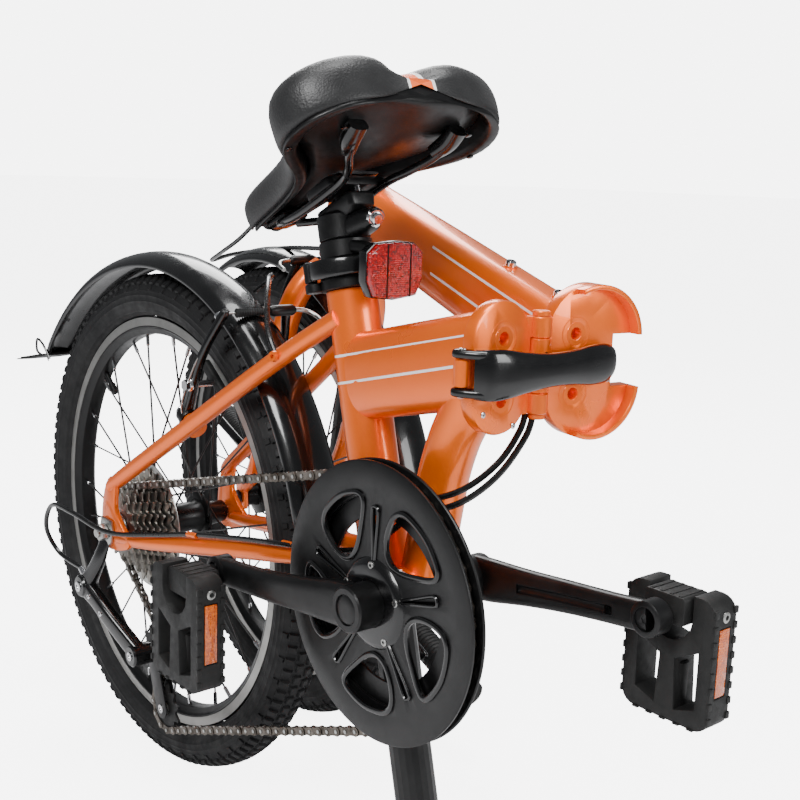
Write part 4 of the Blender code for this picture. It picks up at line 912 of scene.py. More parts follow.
def chain_guard():
    """The guard's disc with five leaning openings and five narrow slots, and the raised ribs round them."""
    disc = [(-0.0498, 0.0178), (-0.0498, 0.0300), (-0.0494, 0.0860), (-0.0500, 0.0885), (-0.0500, 0.1060),
            (-0.0494, GUARD_R), (-0.0478, GUARD_R), (-0.0470, 0.1065), (-0.0470, 0.0178)]
    arms = [math.radians(90 + 72 * k) for k in range(5)]
    cuts, ribs = [], []
    for turn in arms:
        cuts.append(slab(leaf(turn + math.radians(36), -5), BB - Y * 0.044, X, Z, 0.012))
        cuts.append(slab(arm_slot(turn), BB - Y * 0.044, X, Z, 0.012))
        for outline, width in ((leaf(turn + math.radians(36), -5, 1.04), 0.0024), (arm_slot(turn), 0.0013)):
            path = [BB + X * u - Y * 0.0500 + Z * v for u, v in outline]
            ribs.append(swept(path, (0.0016, width), Y, round_profile(8), closed=True))
    piece("chain_guard_disc", lathe(disc, BB, Y, 120), "guard_plastic", "crankset",
          stands_for=["chain_guard"],
          rounded=0.0003, cuts=cuts)
    piece("chain_guard_ribs", merged(*ribs), "gloss_black", "crankset")
    hub = [(-0.0535, 0.0180), (-0.0535, 0.0290), (-0.0520, 0.0330), (-0.0498, 0.0350), (-0.0485, 0.0350),
           (-0.0485, 0.0180)]
    piece("chain_guard_hub", lathe(hub, BB, Y, 60), "gloss_black", "crankset")
    screws = []
    for turn in arms:
        spot = BB + (X * math.cos(turn) + Z * math.sin(turn)) * 0.0300 - Y * 0.0520
        screws.append(bolt_head(spot, -Y, 0.0030, 0.0018))
    piece("chain_guard_screws", merged(*screws), "zinc", "crankset")


def chainrings():
    ring = gear(48, CHAINRING_PITCH_R, -0.0428, 0.0022, 0.0800, BB)
    piece("chainring_teeth", ring, "satin_black", "crankset", stands_for=["chainring"])
    inner = [(-0.0395, 0.0640), (-0.0395, 0.1066), (-0.0388, GUARD_R), (-0.0377, GUARD_R), (-0.0370, 0.1066),
             (-0.0370, 0.0640)]
    piece("inner_guard_disc", lathe(inner, BB, Y, 120), "guard_plastic", "crankset")
    spider = []
    for k in range(5):
        turn = math.radians(90 + 72 * k)
        out = X * math.cos(turn) + Z * math.sin(turn)
        path = [BB + out * r + Y * y for r, y in ((0.014, -0.0452), (0.045, -0.0450), (0.070, -0.0436),
                                                   (0.0840, -0.0432))]
        spider.append(swept(path, [(0.0016, 0.0085), (0.0014, 0.0060), (0.0012, 0.0062), (0.0010, 0.0062)],
                            Y))
        spot = BB + out * 0.0800
        spider.append(rod(spot - Y * 0.0462, spot - Y * 0.0380, 0.0042, 16, 0.0005))
    piece("chainring_spider", merged(*spider), "satin_black", "crankset")


def crank_arm(name, side, boss, plane):
    out = CRANK_OUT * side
    near = (boss[1] - 0.0092) * side
    middle = (near + plane * side) / 2
    stations = ((0.002, near, 0.0078, 0.0178), (0.020, near, 0.0078, 0.0172), (0.055, middle, 0.0072, 0.0142),
                (0.095, plane * side * 0.995, 0.0068, 0.0124), (0.140, plane * side, 0.0066, 0.0114),
                (0.170, plane * side, 0.0068, 0.0118))
    rows = []
    for along, y, half_y, half_up in stations:
        point = BB + out * along + Y * y
        rows.append((*point, half_y, half_up))
    arm = formed(rows, Y, round_profile(20, 0.62), 6)
    eye = BB + out * CRANK_LENGTH + Y * plane * side
    cuts = [rod(eye + Y * side * 0.0070, eye + Y * side * 0.0100, 0.0062, 20),
            slab(hexagon(0.0036), eye - Y * side * 0.0090, X, Z, -0.02 * side)]
    if side > 0:
        cuts[1] = slab(hexagon(0.0036), eye - Y * 0.0060, X, Z, 0.006)
    groove = [BB + out * along + Y * (y - side * depth) for along, y, depth in
              ((0.050, middle, 0.0076), (0.095, plane * side * 0.995, 0.0072), (0.140, plane * side, 0.0072))]
    cuts.append(hose(groove, 0.0034, 5, 12))
    piece(name, arm, "satin_black", "crankset", stands_for=[name.replace("_forging", "")], rounded=0.0004,
          cuts=cuts)
    boss_shape = lathe([(boss[0], 0.0087), (boss[0], 0.0165), (boss[0] + 0.0012, 0.0176),
                        (boss[1] - 0.0015, 0.0176),
                        (boss[1] - 0.0002, 0.0160), (boss[1] - 0.0002, 0.0118), (boss[1] - 0.0022, 0.0112),
                        (boss[1] - 0.0022, 0.0087)], BB, Y * side, 48)
    piece(f"{name}_boss", boss_shape, "satin_black", "crankset")
    cap = lathe([(boss[1] - 0.0030, 0), (boss[1] - 0.0030, 0.0108), (boss[1] - 0.0012, 0.0108),
                 (boss[1] - 0.0004, 0.0092), (boss[1] - 0.0002, 0.0040), (boss[1] - 0.0002, 0)], BB,
                Y * side, 36)
    piece(f"{name}_cap", cap, "guard_plastic", "crankset")
    ring = lathe([(-0.0078, 0.0088), (-0.0078, 0.0118), (-0.0070, 0.0130), (0.0070, 0.0130), (0.0078, 0.0118),
                  (0.0078, 0.0088)], eye, Y, 36)
    piece(f"{name}_eye", ring, "satin_black", "crankset")


def pedal_platform(name, side, pivot, body):
    """An upright cage with toothed edges, a notch for the pedal body and two windows, with its reflectors."""
    half_x, low, high, half_y = 0.0378, -0.0855, 0.0118, 0.0122
    centre = pivot - Y * 0.003 * side
    mid = (low + high) / 2
    outline = [(u, v + mid) for u, v in rounded_box(half_x, (high - low) / 2, 0.012, 6)]
    notch = [(-0.0190, 0.030), (-0.0190, -0.006), *arc((0, -0.006), 0.0190, 180, 360, 9), (0.0190, 0.030)]
    cuts = [slab(notch, centre - Y * 0.03, X, Z, -0.06)]
    for x in (-1, 1):
        window = [(x * u, v) for u, v in ((0.0065, -0.038), (0.026, -0.028), (0.026, -0.070), (0.0085,
                -0.076))]
        cuts.append(slab(window, centre - Y * 0.03, X, Z, -0.06))
        pocket = block(centre + Vector((x * half_x, 0, -0.034)), (0.0012, 0.0062, 0.0260))
        cuts.append(pocket)
    cage = slab(outline, centre + Y * half_y, X, Z, 2 * half_y)
    piece(name, cage, "pedal_plastic", body, stands_for=[name.replace("_cage", "_platform")],
          rounded=0.0010, cuts=cuts)
    teeth = []
    for face in (-1, 1):
        y = centre.y + face * (half_y - 0.0012)
        for k in range(8):
            z = pivot.z + high - 0.0085 - k * 0.0112
            for x in (-1, 1):
                spot = Vector((pivot.x + x * (half_x - 0.0002), y, z))
                teeth.append(block(spot, (0.0011, 0.0021, 0.0026)))
        for k in range(5):
            x = pivot.x - 0.0240 + 0.0120 * k
            teeth.append(block(Vector((x, y, pivot.z + low + 0.0001)), (0.0026, 0.0021, 0.0008)))
    barrel = lathe([(0, 0), (0, 0.0078), (0.0012, 0.0090), (0.0330, 0.0090), (0.0345, 0.0078), (0.0345, 0)],
                   centre + Z * -0.0770, Z, 24)
    piece(f"{name}_teeth", merged(*teeth), "pedal_plastic", body, rounded=0.0004)
    piece(f"{name}_barrel", barrel, "pedal_plastic", body)
    reflectors, screws = [], []
    for x in (-1, 1):
        spot = centre + Vector((x * (half_x - 0.0006), 0, -0.034))
        reflectors.append(block(spot, (0.0006, 0.0056, 0.0248)))
        spot = Vector((pivot.x + x * (half_x - 0.0004), centre.y, pivot.z - 0.0005))
        screws.append(lathe([(0, 0.0019), (0, 0.0040), (0.0008, 0.0040), (0.0012, 0.0030),
                             (0.0012, 0.0019)], spot,
                            X * x, 24))
    piece(f"{name}_reflectors", merged(*reflectors), "amber_lens", body, rounded=0.0003)
    piece(f"{name}_eyelets", merged(*screws), "zinc", body)


def pedals():
    for label, side, plane, drop in (("pedal_right", -1, 0.0760, -0.003), ("pedal_left", 1, 0.0610, 0.005)):
        eye = BB + CRANK_OUT * side * CRANK_LENGTH + Y * plane * side
        pivot = eye + Y * 0.0360 * side + Z * drop
        centre = eye + Vector((0, 0.0270 * side, drop))
        body = slab(rounded_box(0.0174, 0.0104, 0.0030), centre + Y * 0.0138, X, Z, 0.0276)
        piece(f"{label}_body", body, "pedal_plastic", label, stands_for=[label], rounded=0.0008)
        ribs = [block(centre + Vector((x, 0, 0.0104)), (0.0012, 0.0125, 0.0005)) for x in (-0.012, -0.004,
                0.004, 0.012)]
        piece(f"{label}_ribs", merged(*ribs), "pedal_plastic", label)
        collar = lathe([(0.0080, 0), (0.0080, 0.0070), (0.0105, 0.0074), (0.0140, 0.0074), (0.0150, 0.0060),
                        (0.0150, 0)], eye, Y * side, 24)
        piece(f"{label}_collar", collar, "satin_black", label)
        pedal_platform(f"{label}_cage", side, pivot, f"{label}_platform")


# Seat

def seat_at(along):
    return SEAT_POINT + SEAT_AXIS * along


def seat_height(z):
    return (z - SEAT_POINT.z) / SEAT_AXIS.z


def clamp_point(turn, radius, along):
    forward = Y.cross(SEAT_AXIS)
    return seat_at(along) + (forward * math.cos(turn) + Y * math.sin(turn)) * radius


def seat_clamp():
    low = seat_height(0.513) + 0.0003
    collar = [(low, 0.0173), (low, 0.0236), (low + 0.0008, 0.0245), (low + 0.0082, 0.0245),
              (low + 0.0090, 0.0236),
              (low + 0.0150, 0.0232), (low + 0.0158, 0.0240), (low + 0.0238, 0.0240), (low + 0.0245, 0.0232),
              (low + 0.0245, 0.0173)]
    piece("seat_collar", lathe(collar, SEAT_POINT, SEAT_AXIS, 56), "satin_black", "rear_frame",
          stands_for=["seat_clamp"])
    pivot_turn = math.radians(-130)
    lug = rod(clamp_point(pivot_turn, 0.028, low + 0.0004), clamp_point(pivot_turn, 0.028, low + 0.0078),
              0.0085, 24,
              0.0008)
    piece("seat_collar_lug", lug, "satin_black", "rear_frame")
    middle = low + 0.0165
    rows = []
    for step in range(17):
        share = step / 16
        turn = math.radians(-132 + 138 * share)
        half_tall = 0.0074 - 0.0012 * share + 0.0006 * math.sin(math.pi * share)
        radius = 0.0302 - 0.0010 * math.sin(math.pi * share)
        rows.append((*clamp_point(turn, radius, middle), half_tall, 0.0018 + 0.0006 * (1 - share)))
    lever = formed(rows, SEAT_AXIS, round_profile(16, 0.55), 2)
    piece("seat_lever_band", lever, "gloss_black", "seat_lever", stands_for=["seat_clamp_lever"])
    knuckle = rod(clamp_point(pivot_turn, 0.031, low + 0.0085),
                  clamp_point(pivot_turn, 0.031, low + 0.0243), 0.0052,
                  24, 0.0008)
    piece("seat_lever_knuckle", knuckle, "satin_black", "seat_lever")
    stud = bolt_head(clamp_point(pivot_turn, 0.031, low + 0.0240), SEAT_AXIS, 0.0034, 0.0016)
    piece("seat_lever_stud", stud, "chrome", "seat_lever")


def seat_head():
    cap = [(0.2852, 0), (0.2852, 0.0173), (0.2680, 0.0173), (0.2680, 0.0200), (0.2688, 0.0207),
           (0.2870, 0.0207),
           (0.2896, 0.0180), (0.2902, 0.0120), (0.2902, 0)]
    piece("saddle_clamp_cap", lathe(cap, SEAT_POINT, SEAT_AXIS, 48), "satin_black", "saddle_head",
          stands_for=["saddle_clamp"])
    cradle = []
    for lift, half_u, half_v in ((-0.0085, 0.0170, 0.0100), (-0.0040, 0.0225, 0.0128),
                                 (0.0050, 0.0240, 0.0140),
                                 (0.0068, 0.0232, 0.0134)):
        centre = Vector((0.2815, 0, 0.5750)) + SADDLE_UP * lift
        cradle.append([centre + SADDLE_ALONG * u + Y * v for u, v in rounded_box(half_u, half_v, 0.0055)])
    piece("saddle_clamp_cradle", skinned(cradle), "satin_black", "saddle_head", rounded=0.0010)
    bolts = []
    for side in (-1, 1):
        foot = Vector((0.2800, 0, 0.5915)) + SADDLE_ALONG * 0.0135 * side
        bolts.append(rod(foot - SADDLE_UP * 0.0100, foot - SADDLE_UP * 0.0030, 0.0026, 16))
    piece("saddle_clamp_studs", merged(*bolts), "chrome", "saddle_head")
    body = formed([(0.2800, 0, 0.5580, 0.0125, 0.0100), (0.2960, 0, 0.5640, 0.0120, 0.0100),
                   (0.3110, 0, 0.5700, 0.0100, 0.0088), (0.3175, 0, 0.5715, 0.0074, 0.0064)], Y,
                  round_profile(16, 0.7))
    piece("saddle_clamp_knuckle", body, "satin_black", "saddle_head")
    spot = Vector((0.3165, 0, 0.5715))
    facing = Vector((0.78, -0.15, -0.18)).normalized()
    nut = lathe([(-0.004, 0), (-0.004, 0.0078), (0.0020, 0.0078), (0.0036, 0.0066), (0.0036, 0.0052),
                 (0.0060, 0.0048),
                 (0.0070, 0.0036), (0.0070, 0)], spot, facing, 36)
    piece("saddle_clamp_bolt", nut, "chrome", "saddle_head")


def reflector():
    ring = pipe(seat_at(0.2533), seat_at(0.2670), 0.0214, 0.0173)
    piece("reflector_collar", ring, "satin_black", "saddle_head")
    arm = formed([(0.2990, -0.004, 0.5480, 0.0075, 0.0055), (0.3180, -0.003, 0.5470, 0.0075, 0.0050),
                  (0.3350, 0, 0.5410, 0.0075, 0.0045)], Y, round_profile(16, 0.6))
    piece("reflector_arm", arm, "satin_black", "saddle_head")
    outline = [(-0.0275, -0.0080), (-0.0215, -0.0205), (0.0, -0.0230), (0.0215, -0.0205), (0.0275, -0.0080),
               (0.0275, 0.0140), (0.0195, 0.0208), (0.0, 0.0222), (-0.0195, 0.0208), (-0.0275, 0.0140)]
    centre = Vector((0.3332, 0, 0.5330))
    housing = slab(outline, centre, Y, Z, 0.0085)
    piece("reflector_housing", housing, "gloss_black", "saddle_head", stands_for=["rear_reflector"],
          rounded=0.0008)
    rows = []
    for scale, depth in ((0.955, 0.0084), (0.955, 0.0112), (0.90, 0.0126)):
        rows.append([centre + Y * u * scale + Z * v * scale + X * depth for u, v in outline])
    piece("reflector_lens", skinned(rows), "red_lens", "saddle_head", rounded=0.0004, sharp=25)
    ridges = [block(centre + Vector((0.0126, y, -0.0005)), (0.0004, 0.0006, 0.0200)) for y in (-0.0095,
            0.0130)]
    piece("reflector_ridges", merged(*ridges), "gloss_black", "saddle_head")


DROPOUT = ((-0.012, 0.238), (0.004, 0.232), (0.036, 0.240), (0.040, 0.250), (0.024, 0.262), (0.012, 0.276),
           (0.014, 0.300), (0.003, 0.306), (-0.009, 0.290), (-0.015, 0.262))
# along, half width, crown height, bottom, crown dip in the middle, how far the tail's middle is pulled in
SADDLE_SECTIONS = (
    (0.0000, 0.0060, 0.0050, -0.010, 0, 0), (0.0020, 0.0105, 0.0095, -0.0130, 0, 0),
    (0.0060, 0.0153, 0.0135, -0.0140, 0, 0), (0.0160, 0.0192, 0.0165, -0.0142, 0, 0),
    (0.0310, 0.0218, 0.0182, -0.0144, 0, 0), (0.0580, 0.0240, 0.0190, -0.0146, 0.0005, 0),
    (0.0890, 0.0290, 0.0190, -0.0148, 0.001, 0), (0.1157, 0.0410, 0.0197, -0.0160, 0.002, 0),
    (0.1380, 0.0600, 0.0213, -0.0185, 0.003, 0), (0.1602, 0.0830, 0.0250, -0.0210, 0.005, 0),
    (0.1825, 0.0990, 0.0292, -0.0225, 0.007, 0.002), (0.2003, 0.1018, 0.0315, -0.0215, 0.009, 0.006),
    (0.2163, 0.0972, 0.0318, -0.0195, 0.011, 0.011), (0.2287, 0.0870, 0.0295, -0.0175, 0.012, 0.015),
    (0.2376, 0.0715, 0.0240, -0.0155, 0.011, 0.018), (0.2416, 0.0570, 0.0180, -0.0140, 0.008, 0.019),
    (0.2430, 0.0440, 0.0110, -0.0125, 0.004, 0.019),
)


def saddle_at(along, side, up):
    return SADDLE_NOSE + SADDLE_ALONG * along + Y * side + SADDLE_UP * up


def saddle_point(section, u, w):
    """A point of a section, pulled in and down towards the middle of the tail."""
    along, _, top, _, dip, pull = section
    middle = math.exp(-(u / 0.021) ** 2)
    if w > 0:
        w -= dip * middle * w / top
    return saddle_at(along - pull * middle, u, w)


def saddle_cover():
    """The padded cover: thick sides that tuck in under the edge, and a hollow underneath for the shell."""
    rows = []
    for section in SADDLE_SECTIONS:
        _, half, top, bottom, _, _ = section
        lip = min(0.017, 0.42 * half)
        hollow = min(0.006, top - 0.004)
        row = []
        for k in range(17):
            turn = math.pi * k / 16
            c, s = math.cos(turn), math.sin(turn)
            row.append((half * math.copysign(abs(c) ** 0.8, c), top * s ** 0.75))
        row += [(-half * 0.992, bottom * 0.5), (-half + 0.0022, bottom + 0.0018),
                (-half + lip * 0.35, bottom),
                (-half + lip * 0.8, bottom), (-half + lip, bottom + 0.004), (-half + lip * 1.15, hollow)]
        row += [(-u, w) for u, w in reversed(row[17:])]
        rows.append([saddle_point(section, u, w) for u, w in row])
    piece("saddle_cover_padding", skinned(rows), "vinyl", "saddle", stands_for=["saddle_cover"],
          subdivide=1, sharp=80)


def saddle_shell():
    """The glossy base: a flat lip round the edge and a smooth hollow inside it."""
    rows = []
    for section in SADDLE_SECTIONS[2:-1]:
        _, half, top, bottom, _, _ = section
        lip = min(0.017, 0.42 * half)
        hollow = min(0.0055, top - 0.0045)
        under = [(half - 0.0042, bottom - 0.0006), (half - 0.0046, bottom - 0.0034),
                 (half - 0.0066, bottom - 0.0040),
                 (half - lip * 0.85, bottom - 0.0040), (half - lip * 1.02, bottom - 0.0022),
                 (half - lip * 1.30, hollow - 0.004), (half - lip * 1.9, hollow - 0.0012)]
        over = [(half - lip * 1.9, hollow - 0.0004), (half - lip * 1.22, hollow - 0.0030),
                (half - lip * 0.95, bottom - 0.0008)]
        row = under + [(-u, w) for u, w in reversed(under)] + [(-u, w) for u, w in over]
        row += reversed(over)
        rows.append([saddle_point(section, u, w) for u, w in row])
    piece("saddle_base", skinned(rows), "satin_black", "saddle", stands_for=["saddle_shell"], subdivide=1,
          sharp=60)
    sockets = []
    for side in (-1, 1):
        sockets.append(formed([(*saddle_at(0.216, side * 0.048, -0.0215), 0.0085, 0.0060),
                               (*saddle_at(0.203, side * 0.047, -0.0255), 0.0080, 0.0070),
                               (*saddle_at(0.190, side * 0.041, -0.0285), 0.0062, 0.0055)], Y,
                              round_profile(14, 0.75)))
    sockets.append(formed([(*saddle_at(0.030, 0, -0.0190), 0.0120, 0.0045),
                           (*saddle_at(0.044, 0, -0.0205), 0.0130, 0.0050),
                           (*saddle_at(0.057, 0, -0.0215), 0.0120, 0.0040)], Y, round_profile(14, 0.75)))
    piece("saddle_rail_sockets", merged(*sockets), "gloss_black", "saddle")
    rivets = []
    for along, side, up in ((0.214, 0.060, -0.0240), (0.214, -0.060, -0.0240), (0.183, 0.088, -0.0262),
                            (0.183, -0.088, -0.0262)):
        rivets.append(bolt_head(saddle_at(along, side, up), -SADDLE_UP, 0.0026, 0.0012, False))
    piece("saddle_rivets", merged(*rivets), "gloss_black", "saddle")


def saddle_rails():
    rails = []
    for side in (-1, 1):
        path = [saddle_at(0.210, side * 0.047, -0.0260), saddle_at(0.192, side * 0.042, -0.0315),
                saddle_at(0.172, side * 0.030, -0.0350), saddle_at(0.150, side * 0.022, -0.0355),
                saddle_at(0.098, side * 0.0215, -0.0355), saddle_at(0.070, side * 0.0185, -0.0320),
                saddle_at(0.044, side * 0.009, -0.0240)]
        rails.append(hose(path, 0.0035, 6, 14))
    piece("saddle_rail_wires", merged(*rails), "gloss_black", "saddle", stands_for=["saddle_rails"])
    plate = slab(rounded_box(0.0180, 0.0283, 0.0050), saddle_at(0.128, 0, -0.0350), SADDLE_ALONG, Y, 0.0078)
    piece("saddle_rail_clamp", plate, "satin_black", "saddle", rounded=0.0014)
    strip = formed([(*saddle_at(0.108, 0, -0.0258), 0.0200, 0.0012),
                    (*saddle_at(0.128, 0, -0.0246), 0.0230, 0.0014),
                    (*saddle_at(0.148, 0, -0.0258), 0.0200, 0.0012)], Y, round_profile(14, 0.6))
    piece("saddle_rail_bridge", strip, "chrome", "saddle")


# Hinge

def raised_rings(x, spots, facing):
    """Concentric steps round the locating bores of a hinge face."""
    rings = []
    for y, z in spots:
        spot = Vector((x, y, z))
        rings.append(lathe([(-0.0004, 0.0049), (0.0002, 0.0049), (0.0002, 0.0084), (-0.0004, 0.0088)], spot,
                           X * facing,
                           36))
        rings.append(lathe([(-0.0004, 0.0118), (0.00015, 0.0118), (0.00015, 0.0126), (-0.0004, 0.0128)], spot,
                           X * facing, 40))
    return rings


def hinge_plates():
    face = HINGE_X - 0.0003
    bores = (0.452, 0.496)
    outline = arc((-0.0005, HINGE_MID_Z + 0.0195), 0.028, 0, 180, 33)
    outline += arc((-0.0005, HINGE_MID_Z - 0.0195), 0.028, 180, 360, 33)
    cuts = [rod((face - 0.0085, 0, z), (face + 0.01, 0, z), 0.0046, 32) for z in bores]
    plate = slab(outline, Vector((HINGE_X - PLATE_THICKNESS, 0, 0)), Y, Z, PLATE_THICKNESS - HINGE_GAP)
    piece("rear_plate", plate, "orange", "rear_frame", stands_for=["rear_hinge_plate"], rounded=0.0022,
          cuts=cuts)
    piece("rear_plate_rings", merged(*raised_rings(face, [(0, z) for z in bores], 1)), "orange", "rear_frame")
    knuckles = []
    for low, high in ((0.440, 0.4550), (0.4950, 0.510)):
        knuckles.append(rod(HINGE_PIN + Z * low, HINGE_PIN + Z * high, 0.0080, 36, 0.0008))
        centre = ((face + HINGE_X - 0.010) / 2, 0.027, (low + high) / 2)
        knuckles.append(slab(rounded_box(0.0046, 0.0075, 0.001),
                             Vector(centre) - Z * ((high - low) / 2 - 0.0003), X, Y,
                             high - low - 0.0006))
    knuckles.append(rod(LATCH_PIVOT - Z * 0.0093, LATCH_PIVOT + Z * 0.0093, 0.0055, 28, 0.0006))
    knuckles.append(block(LATCH_PIVOT + Vector((-0.0045, 0.0065, 0)), (0.0045, 0.0065, 0.0093)))
    piece("rear_plate_knuckles", merged(*knuckles), "orange", "rear_frame")
    screws = [bolt_head((face - 0.0002, y, z), X, 0.0022, 0.0010) for y,
              z in ((-0.0170, 0.4440), (0.0130, 0.4330))]
    piece("rear_plate_screws", merged(*screws), "chrome", "rear_frame")
    pin = [(0.4360, 0), (0.4360, 0.0058), (0.4367, 0.0065), (0.4394, 0.0065), (0.4397, 0.0040),
           (0.5103, 0.0040),
           (0.5106, 0.0065), (0.5133, 0.0065), (0.5140, 0.0058), (0.5140, 0)]
    piece("main_hinge_pin", lathe(pin, HINGE_PIN, Z, 32), "orange", "rear_frame", stands_for=["hinge_pin"])

    face = HINGE_X + 0.0003
    outline = arc((-0.0105, HINGE_MID_Z + 0.017), 0.040, 22, 180, 33)
    outline += arc((-0.0105, HINGE_MID_Z - 0.017), 0.040, 180, 338, 33)
    cuts = [rod((HINGE_X - 0.012, 0.004, z), (HINGE_X + 0.009, 0.004, z), 0.0046, 32) for z in bores]
    cuts.append(block((HINGE_X, -0.043, HINGE_MID_Z), (0.030, 0.0125, 0.0195)))
    for up in (-1, 1):
        cuts.append(block((HINGE_X, 0.0390, HINGE_MID_Z + up * 0.060), (0.030, 0.0125, 0.040)))
    plate = slab(outline, Vector((face, 0, 0)), Y, Z, PLATE_THICKNESS - HINGE_GAP)
    piece("front_plate", plate, "orange", "front_frame", FOLD, ["front_hinge_plate"], rounded=0.0012,
          cuts=cuts)
    walls = []
    for first, last, centre_z in ((66, 180, HINGE_MID_Z + 0.017), (180, 294, HINGE_MID_Z - 0.017)):
        walls.append(cup_wall(first, last, centre_z))
    cut = [block((HINGE_X, -0.043, HINGE_MID_Z), (0.030, 0.0125, 0.0195))]
    piece("front_plate_cup", merged(*walls), "orange", "front_frame", FOLD, rounded=0.0007, cuts=cut)
    rings = raised_rings(face, [(0.004, z) for z in bores], -1)
    piece("front_plate_rings", merged(*rings), "orange", "front_frame", FOLD)
    barrel = rod(HINGE_PIN + Z * 0.4554, HINGE_PIN + Z * 0.4946, 0.0080, 36, 0.0008)
    web = slab(rounded_box(0.0048, 0.0078, 0.001), Vector((face + 0.005, 0.028, 0.4557)), X, Y, 0.0386)
    piece("front_plate_knuckle", merged(barrel, web), "orange", "front_frame", FOLD)
    set_screw = rod(HINGE_PIN + Vector((-0.0078, 0.0, 0.484)), HINGE_PIN + Vector((-0.0083, 0.0, 0.484)),
                    0.0014, 16)
    piece("front_plate_set_screw", set_screw, "satin_black", "front_frame", FOLD)
    spot = Vector((face - 0.0002, -0.0235, HINGE_MID_Z + 0.0050))
    stud = lathe([(0, 0), (0, 0.0056), (0.0016, 0.0066), (0.0050, 0.0066), (0.0064, 0.0050), (0.0074, 0.0024),
                  (0.0074, 0)], spot, -X, 32)
    piece("latch_stud", stud, "chrome", "front_frame", FOLD)
    thread = rod(spot + Vector((-0.003, 0, -0.004)), spot + Vector((-0.003, -0.001, -0.0200)), 0.0020, 16)
    piece("latch_stud_thread", thread, "zinc", "front_frame", FOLD)


def cup_wall(first, last, centre_z):
    """A stretch of the front plate's lip, which flares a little as it reaches back round the rear plate."""
    count = 30
    rows = []
    for radius, x in ((0.0400, HINGE_X + 0.002), (0.0400, HINGE_X - 0.0086), (0.0393, HINGE_X - 0.0090),
                      (0.0370, HINGE_X - 0.0090), (0.0364, HINGE_X - 0.0084), (0.0358, HINGE_X + 0.002)):
        rows.append([Vector((x, u, v)) for u, v in arc((-0.0105, centre_z), radius, first, last, count)])
    turned_rows = [list(column) for column in zip(*rows)]
    return skinned(turned_rows)


def latch():
    outline = ((0.0100, 0.0030, 0.0170, 0.0030), (0.0175, 0.0090, 0.0176, 0.0042),
               (0.0205, 0.0220, 0.0170, 0.0050),
               (0.0218, 0.0420, 0.0140, 0.0050), (0.0224, 0.0640, 0.0120, 0.0050),
               (0.0222, 0.0880, 0.0126, 0.0048),
               (0.0215, 0.1080, 0.0146, 0.0046), (0.0200, 0.1240, 0.0142, 0.0042),
               (0.0180, 0.1335, 0.0098, 0.0036),
               (0.0168, 0.1368, 0.0040, 0.0020))
    rows = [(*(LATCH_PIVOT + X * x + Y * y), half_tall, half_thick) for x, y, half_tall,
            half_thick in outline]
    lever = formed(rows, Z, round_profile(24, 0.8), 8)
    piece("latch_lever", lever, "gloss_black", "frame_latch", stands_for=["frame_latch_lever"])
    prongs, tips = [], []
    for side in (-1, 1):
        centre = LATCH_PIVOT + Z * 0.0132 * side
        prongs.append(formed([(*(centre + Vector((0.0150, 0.0085, 0))), 0.0034, 0.0048),
                              (*(centre + Vector((0.0070, 0.0030, 0))), 0.0034, 0.0056),
                              (*(centre + Vector((-0.0020, -0.0010, 0))), 0.0034, 0.0056),
                              (*(centre + Vector((-0.0056, -0.0024, 0))), 0.0028, 0.0036)], Z,
                             round_profile(16, 0.7)))
        tips.append(bolt_head(centre + Z * 0.0032 * side, Z * side, 0.0026, 0.0008, False))
    piece("latch_prongs", merged(*prongs), "gloss_black", "frame_latch")
    piece("latch_pin_ends", merged(*tips), "chrome", "frame_latch")


# Frame details

def pinstripe(points, normal, half, lift):
    """A thin painted line: points, the way it faces and its half width."""
    rows = []
    for k, point in enumerate(points):
        before, after = points[max(k - 1, 0)], points[min(k + 1, len(points) - 1)]
        wide = (after - before).normalized().cross(normal)
        rows.append([point + wide * half, point + wide * half + normal * lift,
                     point - wide * half + normal * lift,
                     point - wide * half])
    return skinned(rows)


def painted_line(nodes, start, end, side):
    """Points a hair above the given nodes, where lines across the bicycle from start to end meet them."""
    skins = [BVHTree.FromPolygons([v.co for v in node.data.vertices],
                                  [f.vertices for f in node.data.polygons])
             for node in (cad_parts[name] for name in nodes)]
    points = []
    count = 40
    for k in range(count + 1):
        origin = start.lerp(end, k / count) + Y * side * 0.2
        hits = [hit for hit in (skin.ray_cast(origin, -Y * side)[0] for skin in skins) if hit]
        if hits:
            points.append(min(hits, key=lambda hit: (hit - origin).length) + Y * side * 0.00003)
    return points


